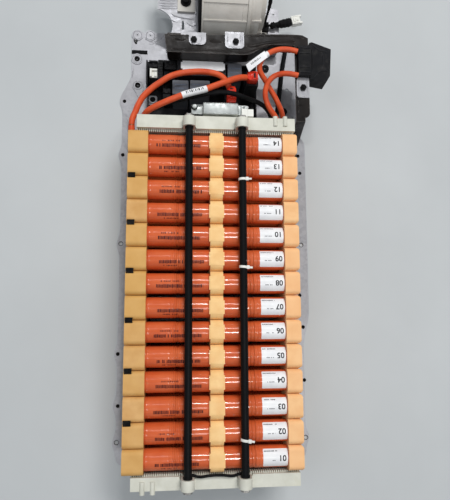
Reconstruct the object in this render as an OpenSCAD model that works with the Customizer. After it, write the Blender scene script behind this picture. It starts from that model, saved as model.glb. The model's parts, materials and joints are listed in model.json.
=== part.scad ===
// Traction battery pack of a hybrid car: fourteen stick modules clamped between
// two end plates on a pressed tray, with junction electronics, high-voltage
// cables, a service plug socket and a cooling blower at the rear end.
// Millimetres. X runs across the pack, Y along it towards the blower, Z up.
// The origin is on the tray's underside, below the middle of the module stack.

/* [Modules] */
// Distance between neighbouring modules
module_pitch = 39.5; // [39.3:0.1:39.6]
// Length of a module over its end caps
module_length = 285; // [284:1:286]
// Height of a module
module_height = 119; // [118:1:120]
// Thickness of a module over its caps
module_width = 39; // [38.6:0.1:39.0]
// Outer diameter of a shrink sleeve round four cells
sleeve_d = 34; // [33.6:0.1:34.2]
// Wall of a shrink sleeve
sleeve_wall = 0.6; // [0.4:0.1:0.7]
// Depth of a left end cap along the module
left_cap_depth = 33; // [30:1:34]
// Depth of a right end cap along the module
right_cap_depth = 24.5; // [23:0.5:26]
// Width of the centre holder along the module
holder_width = 21; // [20:0.1:24]
// Place of the centre holder's middle
holder_x = 4.8; // [2:0.1:6]

/* [Cells] */
// Diameter of a cell's can
cell_d = 32.2; // [32:0.1:32.3]
// Height of a cell's can
cell_can = 58.4; // [57:0.1:58.6]
// Distance from cell to cell in a stick
cell_pitch = 60; // [60:0.1:60.2]

/* [Clamping] */
// Thickness of the rear end plate, ribs included
rear_plate_depth = 27.3; // [26:0.1:28]
// Thickness of the front end plate, ribs included
front_plate_depth = 22.9; // [22.5:0.1:24]
// Height of an end plate's top above the tray's underside
end_plate_top = 126; // [122:1:128]
// Pitch of the ribs that press on the stack
rib_pitch = 3.4; // [3.2:0.1:4.0]
// Diameter of an upper tie rod
rod_d = 8; // [6:1:8]
// Diameter of a lower tie rod
low_rod_d = 6; // [5:1:6]
// Outer diameter of the sleeve on an upper tie rod
rod_sleeve_d = 12.4; // [12:0.1:12.8]

/* [Tray] */
// Thickness of the tray sheet
sheet = 1.6; // [1.2:0.1:1.8]
// Height of the rails that carry the modules
rail_top = 13; // [13:0.5:14]
// Radius of the mounting holes in the ears
ear_hole_r = 3.5; // [3:0.5:4]

/* [Cables] */
// Diameter of the two main cables
main_cable_d = 10.6; // [9:0.1:10.8]
// Diameter of the two service plug cables
plug_cable_d = 9.6; // [8:0.1:9.8]
// Diameter of the signal harness
harness_d = 8; // [7:0.5:8.5]

/* [Support frame] */
// Height of the frame's top surface
frame_top = 110; // [108:1:112]
// Thickness of the frame's sheet
frame_sheet = 2.5; // [2:0.5:3]

/* [Blower] */
// Outer radius of the scroll
scroll_r = 72; // [70:1:74]
// Wall of the scroll
scroll_wall = 2.5; // [2:0.5:3]
// Outer radius of the wheel
wheel_r = 60; // [56:1:62]
// Number of blades on the wheel
blades = 30; // [20:2:36]

/* [Hidden] */
module_count = 14;
stick_count = 3;
stick_cells = 4;
stack_half = module_count * module_pitch / 2;
left_face = -module_length / 2;
right_face = module_length / 2;
left_cap_x = left_face + left_cap_depth;
right_cap_x = right_face - right_cap_depth;
stick_pitch = module_pitch - 0.2;
stick_z = [for (i = [0 : stick_count - 1]) rail_top + 19.5 + i * stick_pitch];
bottom_stick = stick_z[0];
top_stick = stick_z[2];
cells_mid_x = 2;
cap_bore_d = sleeve_d + 0.4;
cap_end_wall = 5;
trough_depth = 6.5;
trough_half = 12.5;
terminal_hole_d = 7;
joints_x = [for (i = [-1 : 1]) cells_mid_x + i * cell_pitch];
function module_y(k) = (k - (module_count + 1) / 2) * module_pitch;
function seam_y(i) = (i - module_count / 2) * module_pitch;

rods_x = [-41.2, 47.6];
rod_z = 138.5;
low_rod_z = 7.4;
plate_left = -129;
rod_boss_r = 10.5;
rod_sleeve_end = stack_half + 5.6;
boss_end = stack_half + 19.8;
nut_h = 4.2;
low_nut_h = 4;

rails = [[-126, -100], [104, 130]];
rail_half = 303;
left_ears = [-258, -194, -102, 100, 273, 381];
right_ears = [-256, 279];
mount_xs = [-166, 178];
mount_ys = [-257, 101];

wheel_y = 553;
wheel_z = 78;
scroll_left = -20;
scroll_right = 70;
motor_right = 97;
duct_end = 648;
bush = [-47.5, 552];

relay_boxes = [[-71, 366, 29, 26], [-39, 366, 36, 27], [30, 396, 26, 32]];
relay_top = 75;
relay_floor = 6;
relay_travel = 2;
plunger_r = 3;

// Routes of the cords, from end to end
negative_route = [[-139.2, 290, 110.5], [-138.2, 302, 109.6], [-133.5, 316, 107], [-129, 330, 104.5],
    [-120.5, 347, 102], [-106, 363.3, 100.5], [-92.4, 374.3, 100], [-76.5, 385.3, 100], [-58, 392.6, 100],
    [-40, 395.8, 100], [-22, 397.5, 100], [-4, 396.6, 100], [10, 393.3, 100], [20, 387.4, 99], [27, 378, 98],
    [31, 369.5, 97]];
positive_route = [[-122, 314, 24], [-122, 313.5, 44], [-122, 313, 64], [-121.5, 313, 82], [-119, 314, 98],
    [-112, 317, 110], [-100, 322, 117], [-84, 328.8, 120.5], [-67, 336.3, 121.5], [-49, 344, 121.5],
    [-31, 349.6, 121.5], [-14, 354.6, 121.5], [4, 362.3, 121], [22, 370.4, 119.5], [38, 378.6, 115],
    [51, 385.5, 107.5], [64.5, 390, 99]];
plug_route_1 = [[151.6, 433.5, 117.2], [140, 436.5, 116.5], [129, 437.5, 116], [117.5, 436.5, 115.5],
    [105.5, 432.5, 115], [95.5, 426.5, 114], [88, 419, 112], [84.5, 411, 108], [85, 403, 103],
    [90, 396.5, 97.5], [97, 389, 92], [103.5, 379.5, 88.5], [109.5, 370.5, 86.5], [115.5, 361, 85],
    [122, 350.5, 81], [129, 341, 73], [134.5, 331.5, 60], [137, 323.5, 43], [137, 320, 23]];
plug_route_2 = [[151.6, 388.5, 117.4], [140, 391, 116.5], [129, 392.5, 114.5], [119.5, 392.8, 111],
    [110.5, 390.3, 107.5], [103, 384.5, 105], [98, 376, 103], [95, 365, 101], [95.5, 353.5, 99],
    [99.5, 342.5, 96], [106, 333, 92], [114, 325, 86.5], [120.5, 317.5, 78], [124.5, 312.5, 65],
    [126, 310.2, 47], [126, 310.2, 27]];
harness_route = [[-125, 332, 14], [-125, 332, 34], [-123, 332, 54], [-116, 332, 70], [-102, 334, 82],
    [-84, 338.5, 91], [-62, 343, 99], [-39, 347, 106], [-17, 350.5, 111], [4, 353, 113.5], [22, 353, 115],
    [39, 350.5, 115.5], [54, 348, 112], [68, 346, 105], [82, 345, 96], [96, 342, 84], [107, 338, 70],
    [113, 335, 52], [114, 335, 30], [114, 335, 14]];
duct_wire_route = [[153, 492, 7], [149, 470, 7], [145, 445, 7], [142, 420, 7], [139, 395, 7],
    [136, 372, 7], [131.5, 353, 7], [127.5, 342, 7], [121.2, 335, 7]];
front_wire_route = [[-39, -277.4, 128.6], [-33, -277.4, 129], [-26, -279.4, 129.6], [-19, -279.6, 130.4],
    [-9, -278, 131.6], [3, -277.4, 132], [15, -278, 131.6], [25, -279.6, 130.4], [32, -279.4, 129.6],
    [39, -277.4, 129], [45, -277.4, 128.6]];
pigtail_route = [[97, 556, 106], [103, 555, 105.5], [107.5, 551, 101], [109, 546, 93], [108.5, 540, 83],
    [107, 534, 71], [106, 530, 59], [107, 528.5, 48], [112, 529, 40.5], [120, 530.5, 38],
    [130, 532.5, 37.5], [140, 534.5, 38], [150, 537, 38.5], [160, 540, 39]];

module_nodes = [for (k = [1 : module_count]) str("module_", k < 10 ? "0" : "", k, "_sticks")];

orange = [0.80, 0.30, 0.16];
peach = [0.95, 0.72, 0.43];
ivory = [0.86, 0.86, 0.76];
cream = [0.85, 0.83, 0.78];
zinc = [0.72, 0.73, 0.75];
steel = [0.62, 0.63, 0.65];
copper = [0.76, 0.45, 0.28];
black = [0.08, 0.08, 0.09];
cable_orange = [0.88, 0.33, 0.16];

// ---- shared shapes -------------------------------------------------------

function unit(v) = v / norm(v);
function tangent(p, i) = unit(p[min(i + 1, len(p) - 1)] - p[max(i - 1, 0)]);
function normals(p, i, last) = i >= len(p) ? [] :
    let (t = tangent(p, i), n = unit(last - (last * t) * t)) concat([n], normals(p, i + 1, n));
function ring(centre, t, n, r, sides) = let (b = cross(t, n))
    [for (j = [0 : sides - 1]) centre + r * (cos(360 * j / sides) * n + sin(360 * j / sides) * b)];

// A tube of one radius along a route of points
module cord(route, r, sides, start_normal) {
    across = normals(route, 0, start_normal);
    last = len(route) - 1;
    points = [for (i = [0 : last]) each ring(route[i], tangent(route, i), across[i], r, sides)];
    walls = [for (i = [0 : last - 1]) for (j = [0 : sides - 1]) let (k = (j + 1) % sides) each [
        [i * sides + j, (i + 1) * sides + j, (i + 1) * sides + k],
        [i * sides + j, (i + 1) * sides + k, i * sides + k]]];
    first_end = [for (j = [0 : sides - 1]) j];
    last_end = [for (j = [sides - 1 : -1 : 0]) last * sides + j];
    polyhedron(points, concat(walls, [first_end, last_end]), convexity = 6);
}

// A box between two corners
module block(low, high) translate(low) cube(high - low);

// Cylinders along each axis, starting at a point
module along_x(p, d, h, fn = 48) translate(p) rotate([0, 90, 0]) cylinder(d = d, h = h, $fn = fn);
module along_y(p, d, h, fn = 48) translate(p) rotate([-90, 0, 0]) cylinder(d = d, h = h, $fn = fn);
module along_z(p, d, h, fn = 48) translate(p) cylinder(d = d, h = h, $fn = fn);

// A flat rectangle with round corners
module rounded(w, h, r) {
    translate([r, 0]) square([w - 2 * r, h]);
    translate([0, r]) square([w, h - 2 * r]);
    for (x = [r, w - r], y = [r, h - r]) translate([x, y]) circle(r, $fn = 32);
}

// A hexagonal nut or bolt head across flats, standing on z
module hex(p, flats, h) translate(p) cylinder(d = flats / cos(30), h = h, $fn = 6);

// A hex-head bolt with a washer, pointing down
module bolt(p, d, flats, head, shank) {
    hex(p + [0, 0, 1], flats, head);
    along_z(p, flats * 1.35, 1);
    along_z(p - [0, 0, shank], d, shank);
}

// A profile drawn across the pack (Y, Z) and run along X
module run_x(x, length) translate([x, 0, 0]) rotate([90, 0, 90]) linear_extrude(length) children();

// ---- modules -------------------------------------------------------------

// One sleeve: a tube with a slight waist at each joint between cells
module stick_sleeve() {
    r = sleeve_d / 2;
    left = left_cap_x - 16;
    right = right_cap_x + 10.5;
    waist = 0.5;
    outer = [for (x = joints_x) each [[r, x - 4], [r - waist, x - 1.2], [r - waist, x + 1.2], [r, x + 4]]];
    rotate([0, 90, 0]) rotate_extrude($fn = 64) difference() {
        polygon(concat([[1, left], [r, left]], outer, [[r, right], [1, right]]));
        translate([-1, left - 1]) square([r - waist - sleeve_wall + 1 + 0.3, right - left + 2]);
    }
}

module module_sticks(k) color(orange) for (z = stick_z) translate([0, module_y(k), z]) stick_sleeve();

// Section of a module's plastic parts: round shoulders above, small radii below
module cap_section(shoulder) {
    w = module_width;
    h = module_height;
    translate([-w / 2, rail_top]) {
        translate([0, 3]) square([w, h - 3 - shoulder]);
        translate([3, 0]) square([w - 6, 6]);
        for (x = [3, w - 3]) translate([x, 3]) circle(3, $fn = 24);
        translate([shoulder, h - shoulder - 1]) square([w - 2 * shoulder, shoulder + 1]);
        for (x = [shoulder, w - shoulder]) translate([x, h - shoulder]) circle(shoulder, $fn = 48);
    }
}

// The seats for the three sleeves, joined by slots for the cell links
module cap_seats(x, length) {
    for (z = stick_z) along_x([x, 0, z], cap_bore_d, length, 64);
    block([x, -6, bottom_stick], [x + length, 6, top_stick]);
}

module left_cap(k) {
    clip_side = k % 2 == 0 ? 1 : -1;
    seat_end = left_face + trough_depth + cap_end_wall;
    difference() {
        run_x(left_face, left_cap_depth) cap_section(8);
        cap_seats(seat_end, left_cap_depth);
        block([left_face - 1, -30, top_stick - trough_half],
            [left_face + trough_depth, 30, top_stick + trough_half]);
        along_x([left_face, 0, top_stick], terminal_hole_d, 20);
        if (k > 1 && k < module_count)
            block([left_face + 1, clip_side * 19.5 - 4.2, rail_top + module_height - 3],
                [left_face + 13, clip_side * 19.5 + 4.2, rail_top + module_height + 1]);
    }
}

module right_cap() {
    seat_end = right_face - trough_depth - cap_end_wall;
    corner = 6;
    difference() {
        intersection() {
            run_x(right_cap_x, right_cap_depth) cap_section(8);
            translate([right_cap_x - 20, -module_width / 2, 0]) linear_extrude(200)
                rounded(right_cap_depth + 20, module_width, corner);
        }
        cap_seats(right_cap_x - 1, seat_end - right_cap_x + 1);
        block([right_face - trough_depth, -30, bottom_stick - trough_half],
            [right_face + 1, 30, bottom_stick + trough_half]);
        along_x([right_face - 20, 0, bottom_stick], terminal_hole_d, 20);
    }
}

module centre_holder() {
    tab = 1.9;
    difference() {
        union() {
            run_x(holder_x - holder_width / 2, holder_width) cap_section(12);
            block([holder_x - holder_width / 2 - tab, -11, rail_top + module_height - 9],
                [holder_x + holder_width / 2 + tab, 11, rail_top + module_height - 0.5]);
        }
        for (z = stick_z) along_x([holder_x - 30, 0, z], cap_bore_d, 60, 64);
    }
}

module left_end_caps() color(peach) for (k = [1 : module_count])
    translate([0, module_y(k), 0]) left_cap(k);
module right_end_caps() color(peach) for (k = [1 : module_count])
    translate([0, module_y(k), 0]) right_cap();
module centre_holders() color(peach) for (k = [1 : module_count])
    translate([0, module_y(k), 0]) centre_holder();

module cell() {
    along_x([0, 0, 0], cell_d, cell_can, 48);
    along_x([cell_can, 0, 0], 10, 1.4, 24);
}

module cells() color(steel)
    for (k = [1 : module_count], z = stick_z, i = [0 : stick_cells - 1])
        translate([cells_mid_x + (i - stick_cells / 2) * cell_pitch + 0.1, module_y(k), z]) cell();

// Nickel straps that join the sticks of one module, and its two terminal studs
module cell_links() color(zinc) for (k = [1 : module_count]) translate([0, module_y(k), 0]) {
    left_x = left_face + trough_depth + cap_end_wall;
    right_x = right_face - trough_depth - cap_end_wall;
    block([left_x + 1, -5, bottom_stick - 6], [left_x + 2, 5, stick_z[1] + 6]);
    block([right_x - 2, -5, stick_z[1] - 6], [right_x - 1, 5, top_stick + 6]);
    along_x([left_x + 1, 0, top_stick], 20, 1.5);
    along_x([left_face + 0.5, 0, top_stick], 6, left_x - left_face + 0.6);
    along_x([right_x - 2.5, 0, bottom_stick], 20, 1.5);
    along_x([right_x - 1.1, 0, bottom_stick], 6, right_face - right_x + 0.6);
}

// ---- copper work ---------------------------------------------------------

// A link plate between the terminals of two neighbouring modules
module link_plate(x, y, z) difference() {
    run_x(x, 2) translate([y - module_pitch / 2 - 8, z - 8]) rounded(module_pitch + 16, 16, 4);
    for (side = [-1, 1]) along_x([x - 1, y + side * module_pitch / 2, z], 6.4, 4);
}

module busbars() color(copper) {
    for (i = [2 : 2 : module_count - 2]) link_plate(left_face + 4.2, seam_y(i), top_stick);
    for (i = [1 : 2 : module_count - 1])
        if (i != module_count / 2) link_plate(right_face - 6.2, seam_y(i), bottom_stick);
}

module terminal_nuts() color(steel) for (k = [1 : module_count]) translate([0, module_y(k), 0]) {
    difference() {
        translate([left_face + 4.2, 0, top_stick]) rotate([0, -90, 0]) hex([0, 0, 0], 10, 4);
        along_x([left_face - 5, 0, top_stick], 6, 20);
    }
    difference() {
        translate([right_face - 4.2, 0, bottom_stick]) rotate([0, 90, 0]) hex([0, 0, 0], 10, 4);
        along_x([right_face - 15, 0, bottom_stick], 6, 20);
    }
}

// A flat bar under the caps that climbs the end face and steps into the trough.
// The profile is drawn for the side where the caps face +X.
module riser_profile(low, inner, terminal) {
    face = right_face;
    polygon([[inner, low], [face + 2.6, low], [face + 2.6, terminal - 9], [face - 4.2, terminal - 9],
        [face - 4.2, terminal + 8], [face - 6.2, terminal + 8], [face - 6.2, terminal - 11],
        [face + 0.6, terminal - 11], [face + 0.6, low + 2], [inner, low + 2]]);
}

module riser(y, low, inner, terminal) difference() {
    translate([0, y + 6, 0]) rotate([90, 0, 0]) linear_extrude(12) riser_profile(low, inner, terminal);
    along_x([right_face - 10, y, terminal], 6.4, 20);
}

module return_bars() color(copper) {
    bar_in = right_face - 11;
    first = module_y(1);
    last = module_y(module_count);
    middle_low = module_y(7);
    middle_high = module_y(8);
    // positive return on the left, from the rear to the first module
    mirror([1, 0, 0]) riser(first, 4, right_face - 13, top_stick);
    block([left_face + 2, first + 6, 4], [left_face + 13, 324, 6]);
    block([left_face + 13, 306, 4], [-116, 324, 6]);
    along_z([-122, 314, 6], 12.5, 18);
    // service plug links on the right, one above the other
    riser(middle_low, 3, bar_in, bottom_stick);
    block([bar_in, middle_low + 6, 3], [right_face - 1, 328, 5]);
    along_z([137, 320, 5], 11.5, 18);
    riser(middle_high, 8, bar_in, bottom_stick);
    block([bar_in, middle_high + 6, 8], [right_face - 1, 313, 10]);
    block([118, 305, 8], [bar_in, 313, 10]);
    along_z([126, 310.2, 10], 11, 17);
    // lug of the negative cable
    difference() {
        block([left_face + 4.2, last - 8, top_stick - 7], [left_face + 6.2, stack_half + 3, top_stick + 7]);
        along_x([left_face, last, top_stick], 6.4, 20);
    }
    along_y([-139.2, stack_half + 2.5, top_stick], 11, 11.2);
}

module busbar_clips() color(black) for (i = [2 : 2 : module_count - 2])
    translate([left_face + 1.2, seam_y(i) - 4, rail_top + module_height - 2.8]) cube([11.6, 8, 3.2]);

// ---- tray ----------------------------------------------------------------

function bump(y, centre, width) = exp(-pow((y - centre) / width, 2));
function ramp(t) = let (u = min(1, max(0, t))) u * u * (3 - 2 * u);
function sum(v, i = 0) = i >= len(v) ? 0 : v[i] + sum(v, i + 1);
front_corner = 20;
tray_front = -300;
function corner_cut(y) = let (u = max(0, tray_front + front_corner - y) / front_corner)
    front_corner * (1 - sqrt(max(0, 1 - u * u)));
function left_edge(y) = -168 - 6 * sum([for (c = left_ears) bump(y, c, 14)]) + 15 * ramp((y - 392) / 45)
    + corner_cut(y);
function right_edge(y) = 178 + 12 * ramp((y + 95) / 70) - 12 * ramp((y - 300) / 26)
    + 6 * bump(y, right_ears[0], 14) - corner_cut(y);

module tray_outline() {
    left = [for (y = [tray_front : 6 : 510]) [left_edge(y), y]];
    right = [for (y = [498 : -6 : tray_front]) [right_edge(y), y]];
    polygon(concat(left, [[-150, 521], [-144, 526], [-78, 526], [-74, 508]], right));
}

foot_bolt = [164, 283];
round_holes = [[-142, 519, 3.4], [-117, 519, 3.4], [-142, 469, 4.5], [-140, 414, 4.5], [-165, 381, 3.5],
    [-166, 273, 3.5], [-165, -194, 3.5], [-167, -102, 3.5], [176, 279, 3.5], [179, 244, 3.5], [173, 4, 3.5],
    [178, -56, 3.5], [178, -154, 3.5], [-68, 474, 3.3], [158, 446, 3], [157, 416, 3], [148, 369, 5.2],
    [113, 459, 5.2], [foot_bolt[0], foot_bolt[1], 3.3]];
bosses = [[-142, 519], [-117, 519], [-142, 469], [-140, 414]];

module tray() color(zinc) difference() {
    union() {
        linear_extrude(sheet) tray_outline();
        for (p = bosses) along_z([p[0], p[1], 0], 22, sheet + 1.6);
        translate([0, 0, sheet]) linear_extrude(1.6)
            polygon([[-151, 414], [-140, 425], [-129, 414], [-134, 380]]);
    }
    for (h = round_holes) along_z([h[0], h[1], -1], 2 * h[2], 8);
    for (x = mount_xs, y = mount_ys) along_z([x, y, -1], 2 * ear_hole_r, 8);
    block([-170, 480, -1], [-122, 487, 4]);
    translate([-150, 504, -1]) linear_extrude(5) rounded(9, 5, 2.4);
}

// Hat-section rails under the stack
module module_rails() color(zinc) for (r = rails) {
    foot = 1.6;
    translate([0, rail_half, 0]) rotate([90, 0, 0]) linear_extrude(2 * rail_half) difference() {
        translate([r[0], sheet]) square([r[1] - r[0], rail_top - sheet]);
        translate([r[0] + foot, sheet - 1]) square([r[1] - r[0] - 2 * foot, rail_top - sheet + 1 - foot]);
    }
}

box_posts = [[-110, 381], [-109, 446], [82, 334], [82, 446]];
resistor_posts = [[-31.5, 330.2], [59.5, 330.2]];

module flange_bolts() color(steel) {
    bolt([foot_bolt[0], foot_bolt[1], 4.5], 6, 10, 4, 4);
    bolt([-68, 474, 4], 6, 10, 4, 3.5);
    for (p = box_posts) bolt([p[0], p[1], 9.3], 6, 10, 4, 7);
    for (p = resistor_posts) bolt([p[0], p[1], 101.1], 4, 7, 3, 6);
}

module grommets() color(black) for (p = [[148, 369], [113, 459]]) difference() {
    union() {
        along_z([p[0], p[1], sheet], 15, 3);
        along_z([p[0], p[1], 0.2], 10, 3);
    }
    along_z([p[0], p[1], -1], 5, 8);
}

// ---- end plates, rods ----------------------------------------------------

// Ribs press on the stack. The body behind them is pocketed from outside, is cut
// back round each rod, and carries a boss there for the rod's sleeve and nut.
module end_plate(depth, body_gap, right_end, pegs, peg_reach) {
    inner = stack_half + 0.2;
    outer = inner + depth;
    body_in = inner + body_gap;
    boss_in = rod_sleeve_end - 2;
    rib = 1.6;
    bay = [30.5, 20, 32];
    bay_pitch = 33.5;
    difference() {
        union() {
            difference() {
                block([plate_left, body_in, rail_top], [right_end, outer, end_plate_top]);
                for (x = rods_x) along_z([x, inner - 1, rail_top - 1], 28, 130);
            }
            for (x = [plate_left : rib_pitch : right_end - rib])
                block([x, inner, rail_top + 4], [x + rib, inner + 13.5, end_plate_top - 6]);
            for (x = rods_x) {
                along_y([x, boss_in, rod_z], 2 * rod_boss_r, boss_end - boss_in);
                block([x - rod_boss_r, boss_in, end_plate_top - 30], [x + rod_boss_r, boss_end, rod_z]);
                block([x - 7, body_in, sheet + 0.2], [x + 7, outer, rail_top + 2]);
            }
            for (x = pegs) along_y([x, outer - 14, end_plate_top - 1], 8, 14 + peg_reach);
        }
        for (x = rods_x) {
            along_y([x, inner, rod_z], rod_d + 0.5, 60);
            along_y([x, inner, rod_z], rod_sleeve_d + 0.4, rod_sleeve_end - inner + 1);
            along_y([x, inner, low_rod_z], low_rod_d + 0.4, 60);
        }
        for (i = [0, 1, 3, 4, 6, 7], j = [0 : 2])
            translate([plate_left + 4 + i * bay_pitch, outer - 10, rail_top + 4 + j * 36]) cube(bay);
    }
}

module end_plate_rear() color(ivory) end_plate(rear_plate_depth, 5, 141, [107, 124], 3);
module end_plate_front() color(ivory) mirror([0, 1, 0]) end_plate(front_plate_depth, 3, 137, [-111, -95], 5);

low_front = -stack_half - front_plate_depth - 0.3;
low_rear = stack_half + rear_plate_depth + 0.3;
rod_tip = 1;
rod_end = boss_end + nut_h + 0.4;

module tie_rods() color(steel) for (x = rods_x) {
    along_y([x, -rod_end, rod_z], rod_d, 2 * rod_end);
    along_y([x, low_front - low_nut_h - rod_tip, low_rod_z], low_rod_d,
        low_rear - low_front + 2 * (low_nut_h + rod_tip));
}

module rod_sleeves() color(black) for (x = rods_x) difference() {
    union() {
        along_y([x, -rod_sleeve_end, rod_z], rod_sleeve_d, 2 * rod_sleeve_end);
        for (y = [-rod_sleeve_end + 2.2, rod_sleeve_end - 5.2]) along_y([x, y, rod_z], rod_sleeve_d + 2, 3);
    }
    along_y([x, -rod_end, rod_z], rod_d + 0.2, 2 * rod_end);
}

module rod_nut(p, flats, h, bore) difference() {
    translate(p) rotate([-90, 0, 0]) hex([0, 0, 0], flats, h);
    along_y(p - [0, 1, 0], bore, h + 2);
}

module rod_nuts() color(steel) for (x = rods_x) {
    for (y = [boss_end + 0.2, -boss_end - nut_h - 0.2]) rod_nut([x, y, rod_z], 13, nut_h, rod_d);
    for (y = [low_rear, low_front - low_nut_h]) rod_nut([x, y, low_rod_z], 10, low_nut_h, low_rod_d);
}

module cable_ties() color([0.93, 0.93, 0.92]) for (y = [191, 45, -225]) {
    difference() {
        along_y([rods_x[1], y - 2.4, rod_z], rod_sleeve_d + 2.6, 4.8);
        along_y([rods_x[1], y - 4, rod_z], rod_sleeve_d + 0.2, 8);
    }
    block([rods_x[1] + 1, y - 3.6, rod_z + 6.6], [rods_x[1] + 7, y + 3.6, rod_z + 11]);
    block([rods_x[1] + 6.5, y - 2, rod_z + 8], [rods_x[1] + 14, y + 2, rod_z + 9.2]);
}

// ---- electronics ---------------------------------------------------------

box_low = [-120, 324];
box_high = [92, 456];

module junction_box() color(black) {
    wall = 2.5;
    difference() {
        block([box_low[0], box_low[1], sheet + 0.4], [box_high[0], box_high[1], 18]);
        block([box_low[0] + wall, box_low[1] + wall, relay_floor],
            [box_high[0] - wall, box_high[1] - wall, 30]);
        for (p = box_posts) along_z([p[0], p[1], 0], 6.4, 20);
    }
    for (p = box_posts) difference() {
        block([p[0] - 8, p[1] - 8, relay_floor - 0.5], [p[0] + 8, p[1] + 8, 9.2]);
        along_z([p[0], p[1], 0], 6.4, 20);
    }
    block([-120, 392, 17], [-117.5, 437, 60]);
    block([-98, 399, relay_floor], [-90, 438, 60]);
    block([-98, 438, relay_floor], [-70, 442, 52]);
    block([24, 340, relay_floor], [44, 370, 84]);
    block([62, 380, relay_floor], [84, 403, 90]);
    for (p = resistor_posts) difference() {
        block([p[0] - 4, p[1] - 3.7, relay_floor], [p[0] + 4, p[1] + 3.8, 98.9]);
        along_z([p[0], p[1], 90], 4.4, 20);
    }
    block([-60, 330, relay_floor], [20, 334, 30]);
    block([57, 412, relay_floor], [84, 430, 40]);
}

// Hollow relay covers, open below
module relay_covers() color([0.25, 0.28, 0.33]) for (b = relay_boxes) difference() {
    translate([b[0], b[1], relay_floor]) linear_extrude(relay_top - relay_floor) rounded(b[2], b[3], 2);
    block([b[0] + 1.8, b[1] + 1.8, relay_floor - 1], [b[0] + b[2] - 1.8, b[1] + b[3] - 1.8, relay_top - 2]);
}

function relay_mid(i) =
    [relay_boxes[i][0] + relay_boxes[i][2] / 2, relay_boxes[i][1] + relay_boxes[i][3] / 2];
coil_top = 46;
bar_z = 56;

// Winding, core plate and the two fixed contacts of each relay
module relay_coils() color(copper) for (i = [0 : 2]) {
    c = relay_mid(i);
    coil_d = min(relay_boxes[i][2], relay_boxes[i][3]) - 5;
    difference() {
        union() {
            along_z([c[0], c[1], relay_floor], coil_d, 2);
            along_z([c[0], c[1], relay_floor + 2], coil_d - 2, coil_top - relay_floor - 4);
            along_z([c[0], c[1], coil_top - 2], coil_d, 2);
        }
        along_z([c[0], c[1], relay_floor + 6], 2 * plunger_r + 0.15, 60);
    }
    for (side = [-1, 1])
        along_z([c[0], c[1] + side * 8, coil_top], 4, bar_z - relay_travel - coil_top, 24);
}

// The plunger and contact bar that close the relay
module armature(i) {
    c = relay_mid(i);
    along_z([c[0], c[1], coil_top - 24], 2 * plunger_r, bar_z - coil_top + 25);
    block([c[0] - 2.5, c[1] - 10.5, bar_z], [c[0] + 2.5, c[1] + 10.5, bar_z + 2]);
    along_z([c[0], c[1], bar_z + 1], 2 * plunger_r, 5);
}

module relay_armature_1() color(steel) armature(0);
module relay_armature_2() color(steel) armature(1);
module relay_armature_3() color(steel) armature(2);

module battery_ecu() color([0.13, 0.13, 0.14]) difference() {
    translate([-62, 400, relay_floor]) linear_extrude(74) rounded(88, 52, 3);
    block([-59, 403, relay_floor + 3], [23, 449, 77]);
}

module connector_blocks() color([0.16, 0.16, 0.18]) {
    block([-115, 422, relay_floor], [-99, 436, 58]);
    block([-114, 404, relay_floor], [-99, 419, 56]);
    block([-89, 368, relay_floor], [-75, 377, 48]);
    block([-89, 379, relay_floor], [-75, 388, 48]);
    block([-131, 326, sheet + 0.2], [-120.2, 338, 14]);
    block([107, 328, sheet + 0.2], [121, 342, 14]);
}

module precharge_resistor() color([0.85, 0.86, 0.87]) {
    // extruded body with round shoulders
    run_x(-17, 61) {
        translate([309.5, 99]) square([26.5, 9]);
        translate([310.5, 99]) rounded(24.5, 18, 5);
    }
    for (side = [0, 1]) difference() {
        block([side ? 43.5 : -37, 318, 99], [side ? 65 : -16.5, 336, 101]);
        along_z([resistor_posts[side][0], resistor_posts[side][1], 90], 4.4, 20);
    }
    block([44, 314, 103], [50, 331, 112]);
}

module resistor_connector() color([0.93, 0.93, 0.91]) {
    block([50.2, 309.5, 101.8], [60, 325, 114]);
    block([60, 311, 102], [71, 324, 114.5]);
}

module hv_cable_negative() color(cable_orange) cord(negative_route, main_cable_d / 2, 12, [0, 0, 1]);
module hv_cable_positive() color(cable_orange) cord(positive_route, main_cable_d / 2, 12, [0, 1, 0]);
module plug_cables() color(cable_orange) {
    cord(plug_route_1, plug_cable_d / 2, 10, [0, 0, 1]);
    cord(plug_route_2, plug_cable_d / 2, 10, [0, 0, 1]);
}

module hv_connectors() color([0.88, 0.20, 0.10]) {
    translate([26, 341.5, 84.2]) linear_extrude(20) rounded(16, 27, 2.5);
    block([29, 345, 104], [39, 356, 106.5]);
    translate([64.5, 382, 90.2]) linear_extrude(16) rounded(17, 17, 2.5);
    block([68, 385, 106], [78, 394, 108.5]);
}

module wire_harness() color(black) {
    cord(harness_route, harness_d / 2, 8, [0, 1, 0]);
    cord(duct_wire_route, 4.6, 8, [0, 0, 1]);
    cord(front_wire_route, 2.2, 8, [0, 0, 1]);
}

// ---- support frame and service plug socket ------------------------------

tab_1_hole = [-33.5, 450];
tab_2_hole = [41, 449.5];
tab_3_hole = [161, 368];

function rail_front(x) = 427 + 22 * ramp((x - 58) / 48);
function rail_rear(x) = 460 + 10 * ramp((x + 85) / 250) - 6 * ramp((x - 160) / 15);
frame_left = -80;
frame_right = 173;
leg_left = 148;
leg_waist = 164.5;
leg_bend = 309;
foot_y = 303;
foot_right = 176;
step_r = frame_right - leg_waist;

module rail_plan(inset) {
    xs = [for (x = [frame_left + inset : 9 : frame_right - inset]) x];
    slant = 5;
    polygon(concat([for (x = xs) [x, rail_front(x) + inset]], [[frame_right - inset, 450 + inset],
        [frame_right - inset, rail_rear(frame_right) - inset]],
        [for (i = [len(xs) - 1 : -1 : 1]) [xs[i], rail_rear(xs[i]) - inset]],
        [[frame_left + inset - slant, rail_rear(frame_left) - inset]]));
}

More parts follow.
